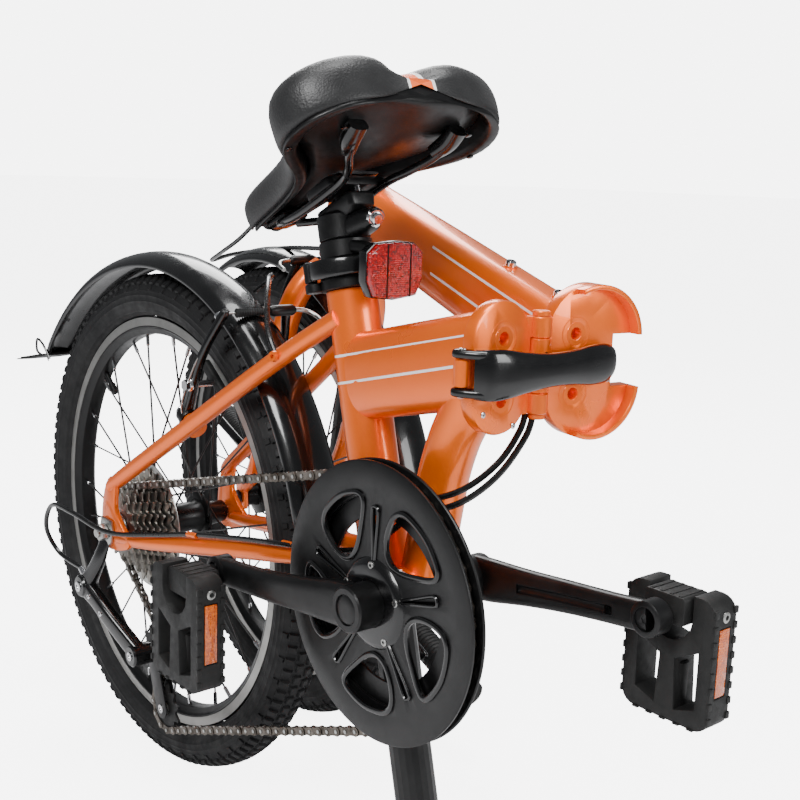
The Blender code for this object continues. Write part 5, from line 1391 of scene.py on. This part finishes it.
def frame_tubes():
    """Smooth tubes over the frame."""
    low, high = seat_height(0.255), seat_height(0.513)
    tube = lathe([(low, 0.0173), (low, 0.0199), (low + 0.0005, 0.0204), (high - 0.0005, 0.0204),
                  (high, 0.0199),
                  (high, 0.0173)], SEAT_POINT, SEAT_AXIS, 72)
    piece("seat_tube_pipe", tube, "orange", "rear_frame", stands_for=["seat_tube"])
    shell = pipe(BB - Y * 0.034, BB + Y * 0.034, 0.0214, 0.0092, 64)
    piece("bottom_bracket_pipe", shell, "orange", "rear_frame", stands_for=["bottom_bracket_shell"])
    profile = round_profile(64, 0.62)
    slope = math.tan(MAIN_TUBE_SLOPE)
    tall = 0.0345 / math.cos(MAIN_TUBE_SLOPE)
    rows = []
    for x, half, up in ((0.307, 0.0198, SEAT_AXIS), (0.325, 0.0209, Z), (0.345, 0.0220, Z),
                        (0.400, 0.0220, Z),
                        (HINGE_X - PLATE_THICKNESS - HINGE_GAP, 0.0220, Z)):
        centre = Vector((x, 0, 0.468 + (x - 0.400) * slope))
        rows.append([centre + Y * half * u + up * tall * v for u, v in profile])
    piece("main_tube_rear", skinned(rows), "orange", "rear_frame", stands_for=["rear_main_tube"])
    start = Vector((HINGE_X + PLATE_THICKNESS + HINGE_GAP, 0, 0.483))
    rise = math.tan(math.radians(15))
    rows = []
    for share in (0, 0.25, 0.5, 0.75, 0.975):
        fade = max(0.0, share - 0.5) * 2
        centre = start + Vector((0.352 * share, 0, 0.352 * share * rise))
        half = 0.0215 - 0.0015 * fade
        high = (0.0310 - 0.0020 * share - 0.0010 * fade) / math.cos(math.radians(15))
        rows.append([centre + Y * half * u + Z * high * v for u, v in profile])
    piece("main_tube_front", skinned(rows), "orange", "front_frame", FOLD, ["front_main_tube"])
    tube = lathe([(0.2840, 0.0150), (0.2840, 0.0214), (0.2846, 0.0228), (0.2900, 0.0228), (0.2906, 0.0220),
                  (0.3874, 0.0220), (0.3880, 0.0228), (0.3934, 0.0228), (0.3940, 0.0214), (0.3940, 0.0150)],
                 STEER_POINT, STEER_AXIS, 72)
    piece("head_tube_pipe", tube, "orange", "front_frame", FOLD, ["head_tube"])
    rows = [(0.443, 0, 0.474, 0.0190, 0.0190), (0.438, 0, 0.462, 0.0194, 0.0194),
            (0.431, 0, 0.442, 0.0194, 0.0194),
            (0.418, 0, 0.418, 0.0194, 0.0194), (0.4075, 0, 0.388, 0.0194, 0.0194),
            (0.400, 0, 0.350, 0.0194, 0.0194),
            (0.393, 0, 0.315, 0.0194, 0.0194), (0.3905, 0, 0.300, 0.0190, 0.0194)]
    strut = formed(rows, Y, round_profile(48), 5)
    behind = block((HINGE_X - PLATE_THICKNESS - HINGE_GAP + 0.05, 0, 0.45), (0.05, 0.05, 0.08))
    piece("lower_strut_tube", strut, "orange", "rear_frame", stands_for=["lower_strut"], cuts=[behind])


def brake_boss(boss, axis, root, root_r, neck, neck_r):
    """A welded foot that narrows to the pin a brake arm turns on."""
    profile = [(root, 0), (root, root_r), (neck, neck_r), (-0.0066, 0.0072), (-0.0062, 0.0064),
               (-0.0062, 0.0040), (0.0060, 0.0040), (0.0060, 0)]
    return lathe(profile, boss, axis, 36)


def stays():
    """Chainstays, dropouts and seatstays, one of each a side."""
    for label, side in (("right", -1), ("left", 1)):
        rows = [(0.016, 0.0650, 0.2455, 0.0058, 0.0058), (0.060, 0.0595, 0.2525, 0.0072, 0.0072),
                (0.140, 0.0480, 0.268, 0.0080, 0.0080), (0.228, 0.0345, 0.284, 0.0080, 0.0080),
                (0.285, 0.0275, 0.293, 0.0078, 0.0078), (0.372, 0.0245, 0.299, 0.0080, 0.0080)]
        stay = formed([(x, y * side, z, u, v) for x, y, z, u, v in rows], Y, round_profile(32), 6)
        plate = slab(spline(DROPOUT, 3, True), Y * (side * 0.0665 + 0.0025), X, Z, 0.0050)
        cut = rod(REAR_AXLE - Y * 0.1, REAR_AXLE + Y * 0.1, 0.0052, 32)
        piece(f"chainstay_{label}_tube", stay, "orange", "rear_frame")
        piece(f"dropout_{label}", plate, "orange", "rear_frame", stands_for=[f"chainstay_{label}"],
              rounded=0.0008,
              cuts=[cut])
        rows = [(0.000, 0.0655, 0.2945, 0.0065, 0.0065), (0.020, 0.0625, 0.309, 0.0075, 0.0075),
                (0.112, 0.0500, 0.3700, 0.0080, 0.0080), (0.200, 0.0370, 0.429, 0.0080, 0.0080),
                (0.250, 0.0270, 0.4625, 0.0080, 0.0080), (0.296, 0.0160, 0.492, 0.0080, 0.0080)]
        stay = formed([(x, y * side, z, u, v) for x, y, z, u, v in rows], Y, round_profile(32), 6)
        boss = Vector((0.103, 0.0415 * side, 0.382))
        axis = Vector((-0.893, 0, 0.45)).normalized()
        foot = brake_boss(boss, axis, -0.0220, 0.0094, -0.0150, 0.0078)
        piece(f"seatstay_{label}_tube", merged(stay, foot), "orange", "rear_frame",
              stands_for=[f"seatstay_{label}"])


def fork():
    """Crown, blades with their brake bosses, and tips."""
    keep_node("fork_steerer", "orange", 0.0006)
    profile = [(0.2700, 0), (0.2700, 0.0196), (0.2708, 0.0205), (0.2829, 0.0205), (0.2837, 0.0197),
               (0.2837, 0.0145),
               (0.2837, 0)]
    crown = lathe(profile, STEER_POINT, STEER_AXIS, 64)
    piece("fork_crown", crown, "orange", "fork", STEER)
    for label, side in (("right", -1), ("left", 1)):
        stations = ((0.2745, 0.0200, 0, 0.0120), (0.262, 0.0350, 0, 0.0125), (0.240, 0.0465, 0, 0.0125),
                    (0.205, 0.0520, 0, 0.0125), (0.110, 0.0530, 0.002, 0.0115),
                    (0.040, 0.0530, 0.012, 0.0095))
        rows = [(*(steer_at(t) + Y * y * side + STEER_FORWARD * out), r, r) for t, y, out, r in stations]
        rows.append((*(FRONT_AXLE + Vector((-0.006, 0.0525 * side, 0.012))), 0.0070, 0.0070))
        blade = formed(rows, STEER_FORWARD, round_profile(36), 6)
        boss = steer_at(0.163) + STEER_FORWARD * 0.024 + Y * 0.0430 * side
        foot = brake_boss(boss, STEER_FORWARD, -0.0200, 0.0092, -0.0140, 0.0076)
        piece(f"fork_blade_{label}_tube", merged(blade, foot), "orange", "fork", STEER)
        tip = slab(rounded_box(0.0100, 0.0140, 0.0040), FRONT_AXLE + Vector((-0.001, 0.0525 * side + 0.0024,
                0.001)),
                   X, Z, 0.0048)
        cut = rod(FRONT_AXLE - Y * 0.1, FRONT_AXLE + Y * 0.1, 0.0052, 32)
        piece(f"fork_tip_{label}", tip, "orange", "fork", STEER, [f"fork_blade_{label}"], rounded=0.0006,
              cuts=[cut])


def frame_details():
    stripes = []
    for low, high in (((0.2950, 0.4610), (0.4450, 0.4970)), ((0.2990, 0.4400), (0.4450, 0.4765))):
        for side in (-1, 1):
            start, end = Vector((low[0], 0, low[1])), Vector((high[0], 0, high[1]))
            points = painted_line(("seat_tube", "rear_main_tube"), start, end, side)
            stripes.append(pinstripe(points, Y * side, 0.0010, 0.00025))
    piece("rear_tube_stripes", merged(*stripes), "white", "rear_frame")
    start = Vector((HINGE_X + PLATE_THICKNESS + HINGE_GAP, 0, 0.483))
    rise = math.tan(math.radians(15))
    stripes = []
    for up in (0.0185, -0.0035):
        for side in (-1, 1):
            points = []
            for along in (0.001, 0.060, 0.110, 0.165):
                flat = (1 - abs(up / 0.0315) ** 3.2) ** (1 / 3.2)
                points.append(start + Vector((along, side * (0.0215 * flat + 0.00002), along * rise + up)))
            stripes.append(pinstripe(points, Y * side, 0.0010, 0.00025))
    piece("front_tube_stripes", merged(*stripes), "white", "front_frame", FOLD)
    bosses, screws = [], []
    for along in (0.0160, 0.0800):
        spot = start + X * along + Z * (along * rise + 0.0318)
        up = Vector((-math.sin(math.radians(15)), 0, math.cos(math.radians(15))))
        bosses.append(lathe([(-0.002, 0), (-0.002, 0.0056), (0.0010, 0.0052), (0.0010, 0)], spot, up, 28))
        screws.append(bolt_head(spot + up * 0.0010, up, 0.0042, 0.0042))
    piece("bottle_boss_pads", merged(*bosses), "orange", "front_frame", FOLD)
    piece("bottle_boss_screws", merged(*screws), "chrome", "front_frame", FOLD)
    guides = []
    for x, y, z in ((0.137, -0.0560, 0.2700), (0.262, -0.0385, 0.2920)):
        guides.append(rod((x - 0.007, y, z + 0.0085), (x + 0.007, y * 0.98, z + 0.0100), 0.0026, 16, 0.0004))
    piece("chainstay_cable_guides", merged(*guides), "orange", "rear_frame")
    plug = lathe([(0, 0.0019), (0, 0.0048), (0.0026, 0.0042), (0.0026, 0.0019)],
                 Vector((0.239, -0.0385, 0.4550)),
                 Vector((0.15, -0.98, 0.10)), 24)
    piece("seatstay_boss", plug, "orange", "rear_frame")
    lug = block(Vector((0.4040, -0.0215, 0.372)), (0.0060, 0.0040, 0.0045))
    piece("strut_cable_lug", lug, "orange", "rear_frame", rounded=0.0012)


# Fenders

def fender_rows(centre, first, last, count, rise):
    half_width, drop = 0.0255, 0.014
    turns = [math.radians(turn) for turn in range(-90, 91, 12)]
    outer = [(half_width * math.sin(a), drop * (math.cos(a) - 1)) for a in turns]
    inner = [((half_width - 0.0014) * math.sin(a),
              drop * (math.cos(a) - 1) - 0.0016) for a in reversed(turns)]
    rows = []
    for k in range(count):
        turn = first + (last - first) * k / (count - 1)
        radius = 0.272 + rise * max(0.0, (turn - 95) / 57) ** 2
        out = X * math.cos(math.radians(turn)) + Z * math.sin(math.radians(turn))
        end = min(k, count - 1 - k)
        narrow = (0.80, 0.93, 0.98)[end] if end < 3 else 1.0
        rows.append([centre + out * (radius + v) + Y * u * narrow for u, v in outer + inner])
    return rows


def fenders():
    shape = skinned(fender_rows(REAR_AXLE, 11, 152, 90, 0.020))
    piece("rear_fender_blade", shape, "gloss_black", "rear_frame", stands_for=["rear_fender"], sharp=60)
    shape = skinned(fender_rows(FRONT_AXLE, 62, 186, 80, 0.0))
    piece("front_fender_blade", shape, "gloss_black", "fork", STEER, ["front_fender"], sharp=60)
    flap = formed([(-0.2500, 0, 0.3872, 0.0180, 0.0016), (-0.2700, 0, 0.3822, 0.0232, 0.0013),
                   (-0.2950, 0, 0.3766, 0.0236, 0.0012), (-0.3268, 0, 0.3712, 0.0238, 0.0010)], Y,
                  round_profile(16, 0.5))
    piece("rear_flap", flap, "pedal_plastic", "rear_frame")
    ribs = []
    for k in range(7):
        x = -0.2680 - 0.0085 * k
        z = 0.3840 - (-0.2680 - x) * 0.205
        ribs.append(formed([(x, -0.0215, z, 0.0012, 0.0010), (x, 0.0215, z, 0.0012, 0.0010)], Z,
                           round_profile(8), 1))
    piece("rear_flap_ribs", merged(*ribs), "pedal_plastic", "rear_frame")
    clips = []
    for side in (-1, 1):
        clips.append(hose([(-0.2320, side * 0.0240, 0.3850), (-0.2440, side * 0.0270, 0.4010),
                           (-0.2580, side * 0.0270, 0.4040), (-0.2660, side * 0.0240, 0.3900),
                           (-0.2640, side * 0.0190, 0.3840)], 0.0014, 6, 8))
    piece("rear_flap_clips", merged(*clips), "gloss_black", "rear_frame")


# Brakes

def brake(label, body, place, boss, axis, up, rim_centre, side, node):
    """A long brake arm on its boss, with its pad, spring and bolts."""
    inward = -Y * side
    rows = []
    for along, shift, half_y, half_deep in ((-0.010, 0.0, 0.0046, 0.0042), (0.0, 0.0, 0.0064, 0.0046),
                                            (0.012, 0.0, 0.0052, 0.0044), (0.030, -0.0010, 0.0046, 0.0042),
                                            (0.055, -0.0020, 0.0042, 0.0038), (0.080, 0.0010, 0.0038, 0.0036),
                                            (0.108, 0.0085, 0.0040, 0.0040),
                                            (0.1130, 0.0088, 0.0026, 0.0026)):
        rows.append((*(boss + up * along + inward * shift), half_y, half_deep))
    arm = formed(rows, Y, round_profile(16, 0.75), 5)
    piece(f"{label}_arm", arm, "gloss_black", body, place, [node])
    offset = boss - rim_centre
    flat = Vector((offset.x, 0, offset.z))
    rim_r = (0.208 + RIM_TRACK_R) / 2 - 0.001
    slope = up.dot(flat)
    distance = -slope + math.sqrt(slope ** 2 - flat.length_squared + rim_r ** 2)
    spot = flat + up * distance
    out = spot.normalized()
    centre = rim_centre + spot
    face = RIM_HALF_WIDTH + 0.0021
    ahead = out.cross(Y)
    rows = []
    for along in (-0.0250, -0.0235, -0.0120, 0.0, 0.0120, 0.0235, 0.0250):
        half_out = 0.0036 if abs(along) > 0.0240 else 0.0048
        rows.append((*(centre + Y * side * (face + 0.0046) + ahead * along), 0.0037, half_out))
    pad = formed(rows, Y, round_profile(16, 0.5), 2)
    piece(f"{label}_pad", pad, "grip_rubber", body, place)
    hardware = [rod(centre + Y * side * (face + 0.0075), centre + Y * (abs(boss.y) + 0.009) * side, 0.0030,
                    16)]
    washer = centre + Y * side * (abs(boss.y) + 0.0045)
    hardware.append(lathe([(0, 0), (0, 0.0058), (0.0010, 0.0062), (0.0030, 0.0055), (0.0030, 0)], washer,
                          Y * side, 28))
    hardware.append(slab(hexagon(0.0054), washer + Y * side * 0.0030, Z, X, 0.0040 * side))
    hardware.append(lathe([(0.0050, 0), (0.0050, 0.0070), (0.0062, 0.0074), (0.0080, 0.0066),
                           (0.0084, 0.0040),
                           (0.0060, 0.0034), (0.0060, 0)], boss, axis, 28))
    hardware.append(bolt_head(boss + up * 0.104 + inward * 0.0080 + axis * 0.0036, axis, 0.0040, 0.0034))
    piece(f"{label}_bolts", merged(*hardware), "chrome", body, place)
    spring = [boss + Y * side * 0.0055 - axis * 0.004, boss + Y * side * 0.0085 + up * 0.014,
              boss + Y * side * 0.0080 + up * 0.040, boss + Y * side * 0.0052 + up * 0.062,
              boss + Y * side * 0.0020 + up * 0.068 - axis * 0.002]
    piece(f"{label}_spring", hose(spring, 0.0009, 8, 8), "zinc", body, place)
    collar = lathe([(-0.0062, 0.0042), (-0.0062, 0.0086), (-0.0052, 0.0090), (0.0040, 0.0086),
                    (0.0050, 0.0072),
                    (0.0050, 0.0042)], boss, axis, 32)
    piece(f"{label}_collar", collar, "satin_black", body, place)
    return boss + up * 0.1095 + inward * 0.0086


def brake_link(label, body, place, low, high, axis):
    """The cable, bellows, fitting and bent guide pipe that join the tops of two brake arms."""
    along = (high - low).normalized()
    piece(f"{label}_wire", rod(low, high, 0.0008, 8), "zinc", body, place)
    rings = 13
    profile = [(0, 0)]
    for k in range(rings):
        profile += [(0.0026 * k, 0.0024), (0.0026 * k + 0.0013, 0.0044 - 0.0001 * k)]
    profile += [(0.0026 * rings, 0.0030), (0.0026 * rings, 0)]
    bellows = lathe(profile, low + along * 0.0120, along, 20)
    piece(f"{label}_bellows", bellows, "grip_rubber", body, place)
    fitting = lathe([(-0.018, 0), (-0.018, 0.0036), (-0.014, 0.0052), (0.006, 0.0052), (0.009, 0.0034),
                     (0.009, 0)],
                    high, along, 24)
    piece(f"{label}_fitting", fitting, "satin_black", body, place)
    pipe_path = [high + along * 0.004, high + along * 0.013, high + along * 0.021 - axis * 0.003,
                 high + along * 0.026 - axis * 0.011, high + along * 0.027 - axis * 0.021]
    piece(f"{label}_noodle", hose(pipe_path, 0.0021, 8, 12), "zinc", body, place)


def brakes():
    axis = Vector((-0.893, 0, 0.45)).normalized()
    up = (axis.cross(Y) * -1).normalized()
    tops = []
    for label, side in (("rear_brake_right", -1), ("rear_brake_left", 1)):
        boss = Vector((0.103, 0.0415 * side, 0.382))
        node = label.replace("brake_", "brake_arm_")
        tops.append(brake(label, label, HOME, boss, axis, up, REAR_AXLE, side, node))
    brake_link("rear_brake", "rear_brake_left", HOME, tops[0], tops[1], axis)
    tops = []
    for label, side in (("front_brake_right", -1), ("front_brake_left", 1)):
        boss = steer_at(0.163) + STEER_FORWARD * 0.024 + Y * 0.0430 * side
        node = label.replace("brake_", "brake_arm_")
        tops.append(brake(label, label, STEER, boss, STEER_FORWARD, STEER_AXIS, FRONT_AXLE, side, node))
    brake_link("front_brake", "front_brake_left", STEER, tops[0], tops[1], STEER_FORWARD)


# Derailleur

def derailleur():
    hanger = slab([(-0.009, 0.238), (0.0, 0.234), (0.009, 0.240), (0.0125, 0.254), (0.010, 0.263),
                   (-0.010, 0.263),
                   (-0.0125, 0.254)], Y * -0.0693, X, Z, 0.0030)
    cut = [rod(Vector((0, -0.1, 0.25)), Vector((0, -0.06, 0.25)), 0.0056, 24)]
    piece("derailleur_hanger", hanger, "zinc", "rear_frame", stands_for=["derailleur_body"], rounded=0.0006,
          cuts=cut)
    body = [
        formed([(-0.003, -0.0712, 0.241, 0.0014, 0.0090), (-0.009, -0.0742, 0.222, 0.0040, 0.0085),
                (-0.020, -0.0765, 0.203, 0.0058, 0.0085), (-0.031, -0.0785, 0.188, 0.0075, 0.0105)], Y,
               round_profile(18, 0.75)),
        lathe([(0.0, 0), (0.0, 0.0100), (0.0012, 0.0114), (0.0150, 0.0114), (0.0172, 0.0098),
               (0.0178, 0.0050),
               (0.0178, 0)], Vector((-0.031, -0.0700, 0.187)), -Y, 32),
        formed([(-0.031, -0.0800, 0.187, 0.0068, 0.0108), (-0.012, -0.0772, 0.178, 0.0070, 0.0088),
                (0.010, -0.0730, 0.163, 0.0070, 0.0094), (0.046, -0.0622, 0.1355, 0.0068, 0.0104)], Y,
               round_profile(18, 0.6)),
        lathe([(0.0, 0), (0.0, 0.0096), (0.0010, 0.0108), (0.0205, 0.0108), (0.0222, 0.0092), (0.0222, 0)],
              Vector((0.046, -0.0495, 0.135)), -Y, 32),
    ]
    piece("derailleur_castings", merged(*body), "gloss_black", "rear_frame")
    metal = [bolt_head(Vector((-0.031, -0.0876, 0.187)), -Y, 0.0052, 0.0016),
             bolt_head(Vector((0.046, -0.0716, 0.135)), -Y, 0.0044, 0.0014),
             bolt_head(Vector((0.004, -0.0808, 0.168)), -Y, 0.0030, 0.0018),
             bolt_head(Vector((-0.014, -0.0842, 0.181)), -Y, 0.0026, 0.0018)]
    for z in (0.1790, 0.1850):
        metal.append(rod((-0.0445, -0.0790, z), (-0.0400, -0.0790, z), 0.0019, 14, 0.0004))
    metal.append(rod((-0.040, -0.0760, 0.1940), (-0.0500, -0.0755, 0.1990), 0.0033, 16, 0.0005))
    piece("derailleur_screws", merged(*metal), "chrome", "rear_frame")
    plates = []
    for y in (-0.0481, -0.0375):
        outline = arc((0, 0), 0.0105, 100, 290, 10) + arc((0.0566, 0), 0.0100, -80, 100, 10)
        along = (JOCKEY_LOW - JOCKEY_HIGH).normalized()
        over = along.cross(Y)
        centre = JOCKEY_HIGH + Y * (y - 0.00085)
        rows = [[centre + along * u + over * v + Y * lift for u, v in outline] for lift in (0, 0.0017)]
        plates.append(skinned(rows))
    for end in (JOCKEY_HIGH, JOCKEY_LOW):
        plates.append(rod(end - Y * 0.0481, end - Y * 0.0375, 0.0025, 16))
    piece("derailleur_cage_plates", merged(*plates), "satin_black", "rear_frame",
          stands_for=["derailleur_cage"],
          rounded=0.0004)
    bolts = [bolt_head(end - Y * 0.0488, -Y, 0.0042, 0.0014) for end in (JOCKEY_HIGH, JOCKEY_LOW)]
    piece("derailleur_cage_bolts", merged(*bolts), "chrome", "rear_frame")
    for label, node, end in (("jockey_upper", "jockey_wheel_upper", JOCKEY_HIGH),
                             ("jockey_lower", "jockey_wheel_lower", JOCKEY_LOW)):
        place = Matrix.Translation(end)
        piece(f"{label}_pulley", gear(11, JOCKEY_PITCH_R, CHAIN_Y, 0.0022, 0.0060), "pedal_plastic", label,
              place, [node])
        bush = lathe([(CHAIN_Y - 0.0030, 0.0029), (CHAIN_Y - 0.0030, 0.0062), (CHAIN_Y + 0.0030, 0.0062),
                      (CHAIN_Y + 0.0030, 0.0029)], segments=28)
        piece(f"{label}_bush", bush, "zinc", label, place)


# Handlepost, bar and levers

def front_end():
    keep_node("handlepost_outer", "black_alloy", 0.0008)
    collar = [(0.6860, 0.0164), (0.6862, 0.0180), (0.6990, 0.0180), (0.7000, 0.0172), (0.7000, 0.0134),
              (0.6990, 0.0134)]
    ring = lathe(collar, STEER_POINT, STEER_AXIS, 40)
    piece("handlepost_collar", ring, "satin_black", "handlepost", POST)
    grips = []
    for side in (-1, 1):
        profile = [(0.1800, 0.0128), (0.1800, 0.0150), (0.1812, 0.0158), (0.1870, 0.0158)]
        for k in range(22):
            at = 0.1880 + 0.0048 * k
            profile += [(at, 0.0158), (at + 0.0006, 0.0150), (at + 0.0014, 0.0150), (at + 0.0020, 0.0158)]
        profile += [(0.2960, 0.0160), (0.2990, 0.0158), (0.3000, 0.0148), (0.3000, 0.0128)]
        grips.append(lathe(profile, steer_at(BAR_T), Y * side, 40))
        grips.append(lathe([(0.2950, 0), (0.2950, 0.0128), (0.2999, 0.0128), (0.2999, 0)], steer_at(BAR_T),
                           Y * side,
                           32))
    piece("handlebar_grips", merged(*grips), "grip_rubber", "handlebar", POST)
    bar = lathe([(-0.2950, 0), (-0.2950, 0.0126), (-0.0300, 0.0126), (-0.0240, 0.0127), (0.0240, 0.0127),
                 (0.0300, 0.0126), (0.2950, 0.0126), (0.2950, 0)], steer_at(BAR_T), Y, 40)
    piece("handlebar_tube", bar, "black_alloy", "handlebar", POST, ["handlebar"])
    for side, label in ((-1, "brake_lever_right"), (1, "brake_lever_left")):
        brake_lever(side, label)


def brake_lever(side, label):
    ahead = (STEER_FORWARD * 0.75 - STEER_AXIS * 0.66).normalized()
    axis = ahead.cross(Y)
    pivot = steer_at(BAR_T) + Y * 0.150 * side + ahead * 0.026
    outline = ((-0.004, -0.004, 0.0050, 0.0044), (0.006, 0.006, 0.0052, 0.0046),
               (0.014, 0.022, 0.0050, 0.0036),
               (0.0195, 0.060, 0.0054, 0.0032), (0.0215, 0.095, 0.0058, 0.0032),
               (0.0220, 0.1080, 0.0050, 0.0030),
               (0.0220, 0.1110, 0.0028, 0.0018))
    rows = [(*(pivot + ahead * out + Y * across_bar * side), half_tall, half_thick)
            for out, across_bar, half_tall, half_thick in outline]
    piece(f"{label}_blade", formed(rows, axis, round_profile(18, 0.7), 5), "gloss_black", label, POST,
          [label])
    clamp = steer_at(BAR_T) + Y * 0.140 * side
    bracket = [lathe([(-0.008, 0.0129), (-0.008, 0.0160), (0.008, 0.0160), (0.008, 0.0129)], clamp, Y, 36)]
    arm = [(*(clamp + ahead * 0.0150), 0.0062, 0.0070), (*(clamp + ahead * 0.0190 + Y * side * 0.001),
                                                         0.0062, 0.0068),
           (*(clamp + ahead * 0.0230 - Y * side * 0.006), 0.0052, 0.0060),
           (*(clamp + ahead * 0.0250 - Y * side * 0.016), 0.0045, 0.0045)]
    bracket.append(formed(arm, axis, round_profile(16, 0.7), 5))
    piece(f"{label}_bracket", merged(*bracket), "satin_black", "handlebar", POST)
    screw = bolt_head(pivot + axis * 0.0066, axis, 0.0034, 0.0012)
    piece(f"{label}_screw", screw, "chrome", label, POST)


# Cables

def cables():
    """The cables as far as they show, each on the body it is clipped to."""
    sleeve = 0.0024
    drive = hose([(0.4040, -0.0250, 0.3720), (0.4230, -0.0280, 0.3680), (0.4480, -0.0180, 0.3790),
                  (0.4600, 0.0040, 0.3980), (0.4630, 0.0260, 0.4230), (0.4620, 0.0340, 0.4390)], sleeve)
    piece("hinge_cable_lower", drive, "cable_black", "rear_frame")
    drive = hose([(0.4040, -0.0230, 0.3790), (0.4220, -0.0240, 0.3760), (0.4440, -0.0120, 0.3870),
                  (0.4560, 0.0080, 0.4060), (0.4590, 0.0240, 0.4270), (0.4580, 0.0300, 0.4390)], sleeve)
    piece("hinge_cable_upper", drive, "cable_black", "rear_frame")
    shift = hose([(0.262, -0.0390, 0.3010), (0.200, -0.0445, 0.2905), (0.137, -0.0545, 0.2795),
                  (0.080, -0.0640, 0.2660),
                  (0.020, -0.0810, 0.2560), (-0.030, -0.0930, 0.2650), (-0.078, -0.0930, 0.2610),
                  (-0.104, -0.0880, 0.2300), (-0.092, -0.0800, 0.2050), (-0.0500, -0.0755, 0.1990)], sleeve)
    piece("gear_cable", shift, "cable_black", "rear_frame")
    run = hose([(0.4040, -0.0200, 0.3640), (0.3600, -0.0300, 0.3250), (0.3100, -0.0330, 0.3080),
                (0.262, -0.0390, 0.3010)], sleeve)
    piece("gear_cable_front", run, "cable_black", "rear_frame")
    brake_run = hose([(0.239, -0.0370, 0.4560), (0.2100, -0.0260, 0.4760), (0.1500, 0.0150, 0.5080),
                      (0.0850, 0.0620, 0.5020), (0.0560, 0.0620, 0.4860)], sleeve)
    piece("rear_brake_cable", brake_run, "cable_black", "rear_frame")
    loop = hose([(-0.0300, 0.1200, 0.5530), (-0.0545, 0.1300, 0.5431), (-0.0979, 0.1400, 0.5251),
                 (-0.1476, 0.1500, 0.5080), (-0.1900, 0.1620, 0.4950), (-0.1640, 0.1700, 0.5030),
                 (-0.1099, 0.1650, 0.5111), (-0.0206, 0.1500, 0.5216), (0.0833, 0.1200, 0.5289),
                 (0.1500, 0.1000, 0.5308)], sleeve)
    piece("control_cable_loop", loop, "cable_black", "front_frame")
    ends = []
    for start, ahead in (((0.4040, -0.0240, 0.3720), (1, -0.2, -0.2)),
                         ((0.4040, -0.0225, 0.3790), (1, 0, -0.1))):
        ahead = Vector(ahead).normalized()
        ends.append(rod(Vector(start) - ahead * 0.002, Vector(start) + ahead * 0.009, 0.0031, 16, 0.0004))
    piece("cable_ferrules", merged(*ends), "satin_black", "rear_frame")


# Nodes of the CAD that keep their shape

def kept_nodes():
    for node in ("seatpost", "handlepost_inner"):
        keep_node(node, "satin_black")
    keep_node("seatpost_foot", "pedal_plastic")
    keep_node("crank_spindle", "zinc", 0.0006)


# Stage

def light(name, location, target, size, power):
    data = bpy.data.lights.new(name, "AREA")
    data.energy = power
    data.size = size
    obj = bpy.data.objects.new(name, data)
    bpy.context.scene.collection.objects.link(obj)
    obj.location = location
    obj.rotation_euler = (Vector(target) - Vector(location)).to_track_quat("-Z", "Y").to_euler()


def bright_room():
    """A pale backdrop for the camera that lights the bicycle only softly."""
    world = bpy.data.worlds.new("studio")
    world.use_nodes = True
    tree = world.node_tree
    soft = tree.nodes["Background"]
    soft.inputs["Color"].default_value = (0.93, 0.96, 1.0, 1)
    soft.inputs["Strength"].default_value = 0.22
    seen = tree.nodes.new("ShaderNodeBackground")
    seen.inputs["Color"].default_value = (1.0, 1.0, 1.0, 1)
    seen.inputs["Strength"].default_value = 6.2
    path = tree.nodes.new("ShaderNodeLightPath")
    mix = tree.nodes.new("ShaderNodeMixShader")
    tree.links.new(path.outputs["Is Camera Ray"], mix.inputs["Fac"])
    tree.links.new(soft.outputs[0], mix.inputs[1])
    tree.links.new(seen.outputs[0], mix.inputs[2])
    tree.links.new(mix.outputs[0], tree.nodes["World Output"].inputs["Surface"])
    bpy.context.scene.world = world


def stage():
    floor = bmesh.new()
    corners = [floor.verts.new((2.5 + 40 * x, 40 * y, -0.0015)) for x,
               y in ((-1, -1), (1, -1), (1, 1), (-1, 1))]
    floor.faces.new(corners)
    mesh = bpy.data.meshes.new("floor")
    floor.to_mesh(mesh)
    floor.free()
    obj = bpy.data.objects.new("floor", mesh)
    bpy.context.scene.collection.objects.link(obj)
    mesh.materials.append(floor_paper())

    middle = Vector((0.1, 0.05, 0.35))
    light("key", (0.9, -1.6, 1.9), middle, 0.9, 58)
    light("fill", (2.1, 0.5, 1.0), middle, 0.8, 20)
    light("back", (-1.5, 1.2, 1.9), middle, 1.1, 40)
    light("top", (0.1, 0.1, 2.6), middle, 1.0, 40)
    bright_room()

    data = bpy.data.cameras.new("camera")
    data.lens = LENS_MM
    data.sensor_width = 36
    camera = bpy.data.objects.new("camera", data)
    bpy.context.scene.collection.objects.link(camera)
    behind = CAMERA_RIGHT.cross(CAMERA_UP)
    turn = Matrix((CAMERA_RIGHT, CAMERA_UP, behind)).transposed().to_4x4()
    camera.matrix_world = Matrix.Translation(CAMERA_AT) @ turn
    bpy.context.scene.camera = camera


wheels()
chain()
freewheel()
chain_guard()
chainrings()
crank_arm("crank_arm_right_forging", -1, (0.0460, 0.0760), 0.0760)
crank_arm("crank_arm_left_forging", 1, (0.0370, 0.0640), 0.0610)
pedals()
seat_clamp()
seat_head()
reflector()
saddle_cover()
saddle_shell()
saddle_rails()
hinge_plates()
latch()
frame_tubes()
stays()
fork()
frame_details()
fenders()
brakes()
derailleur()
front_end()
cables()
kept_nodes()
stage()
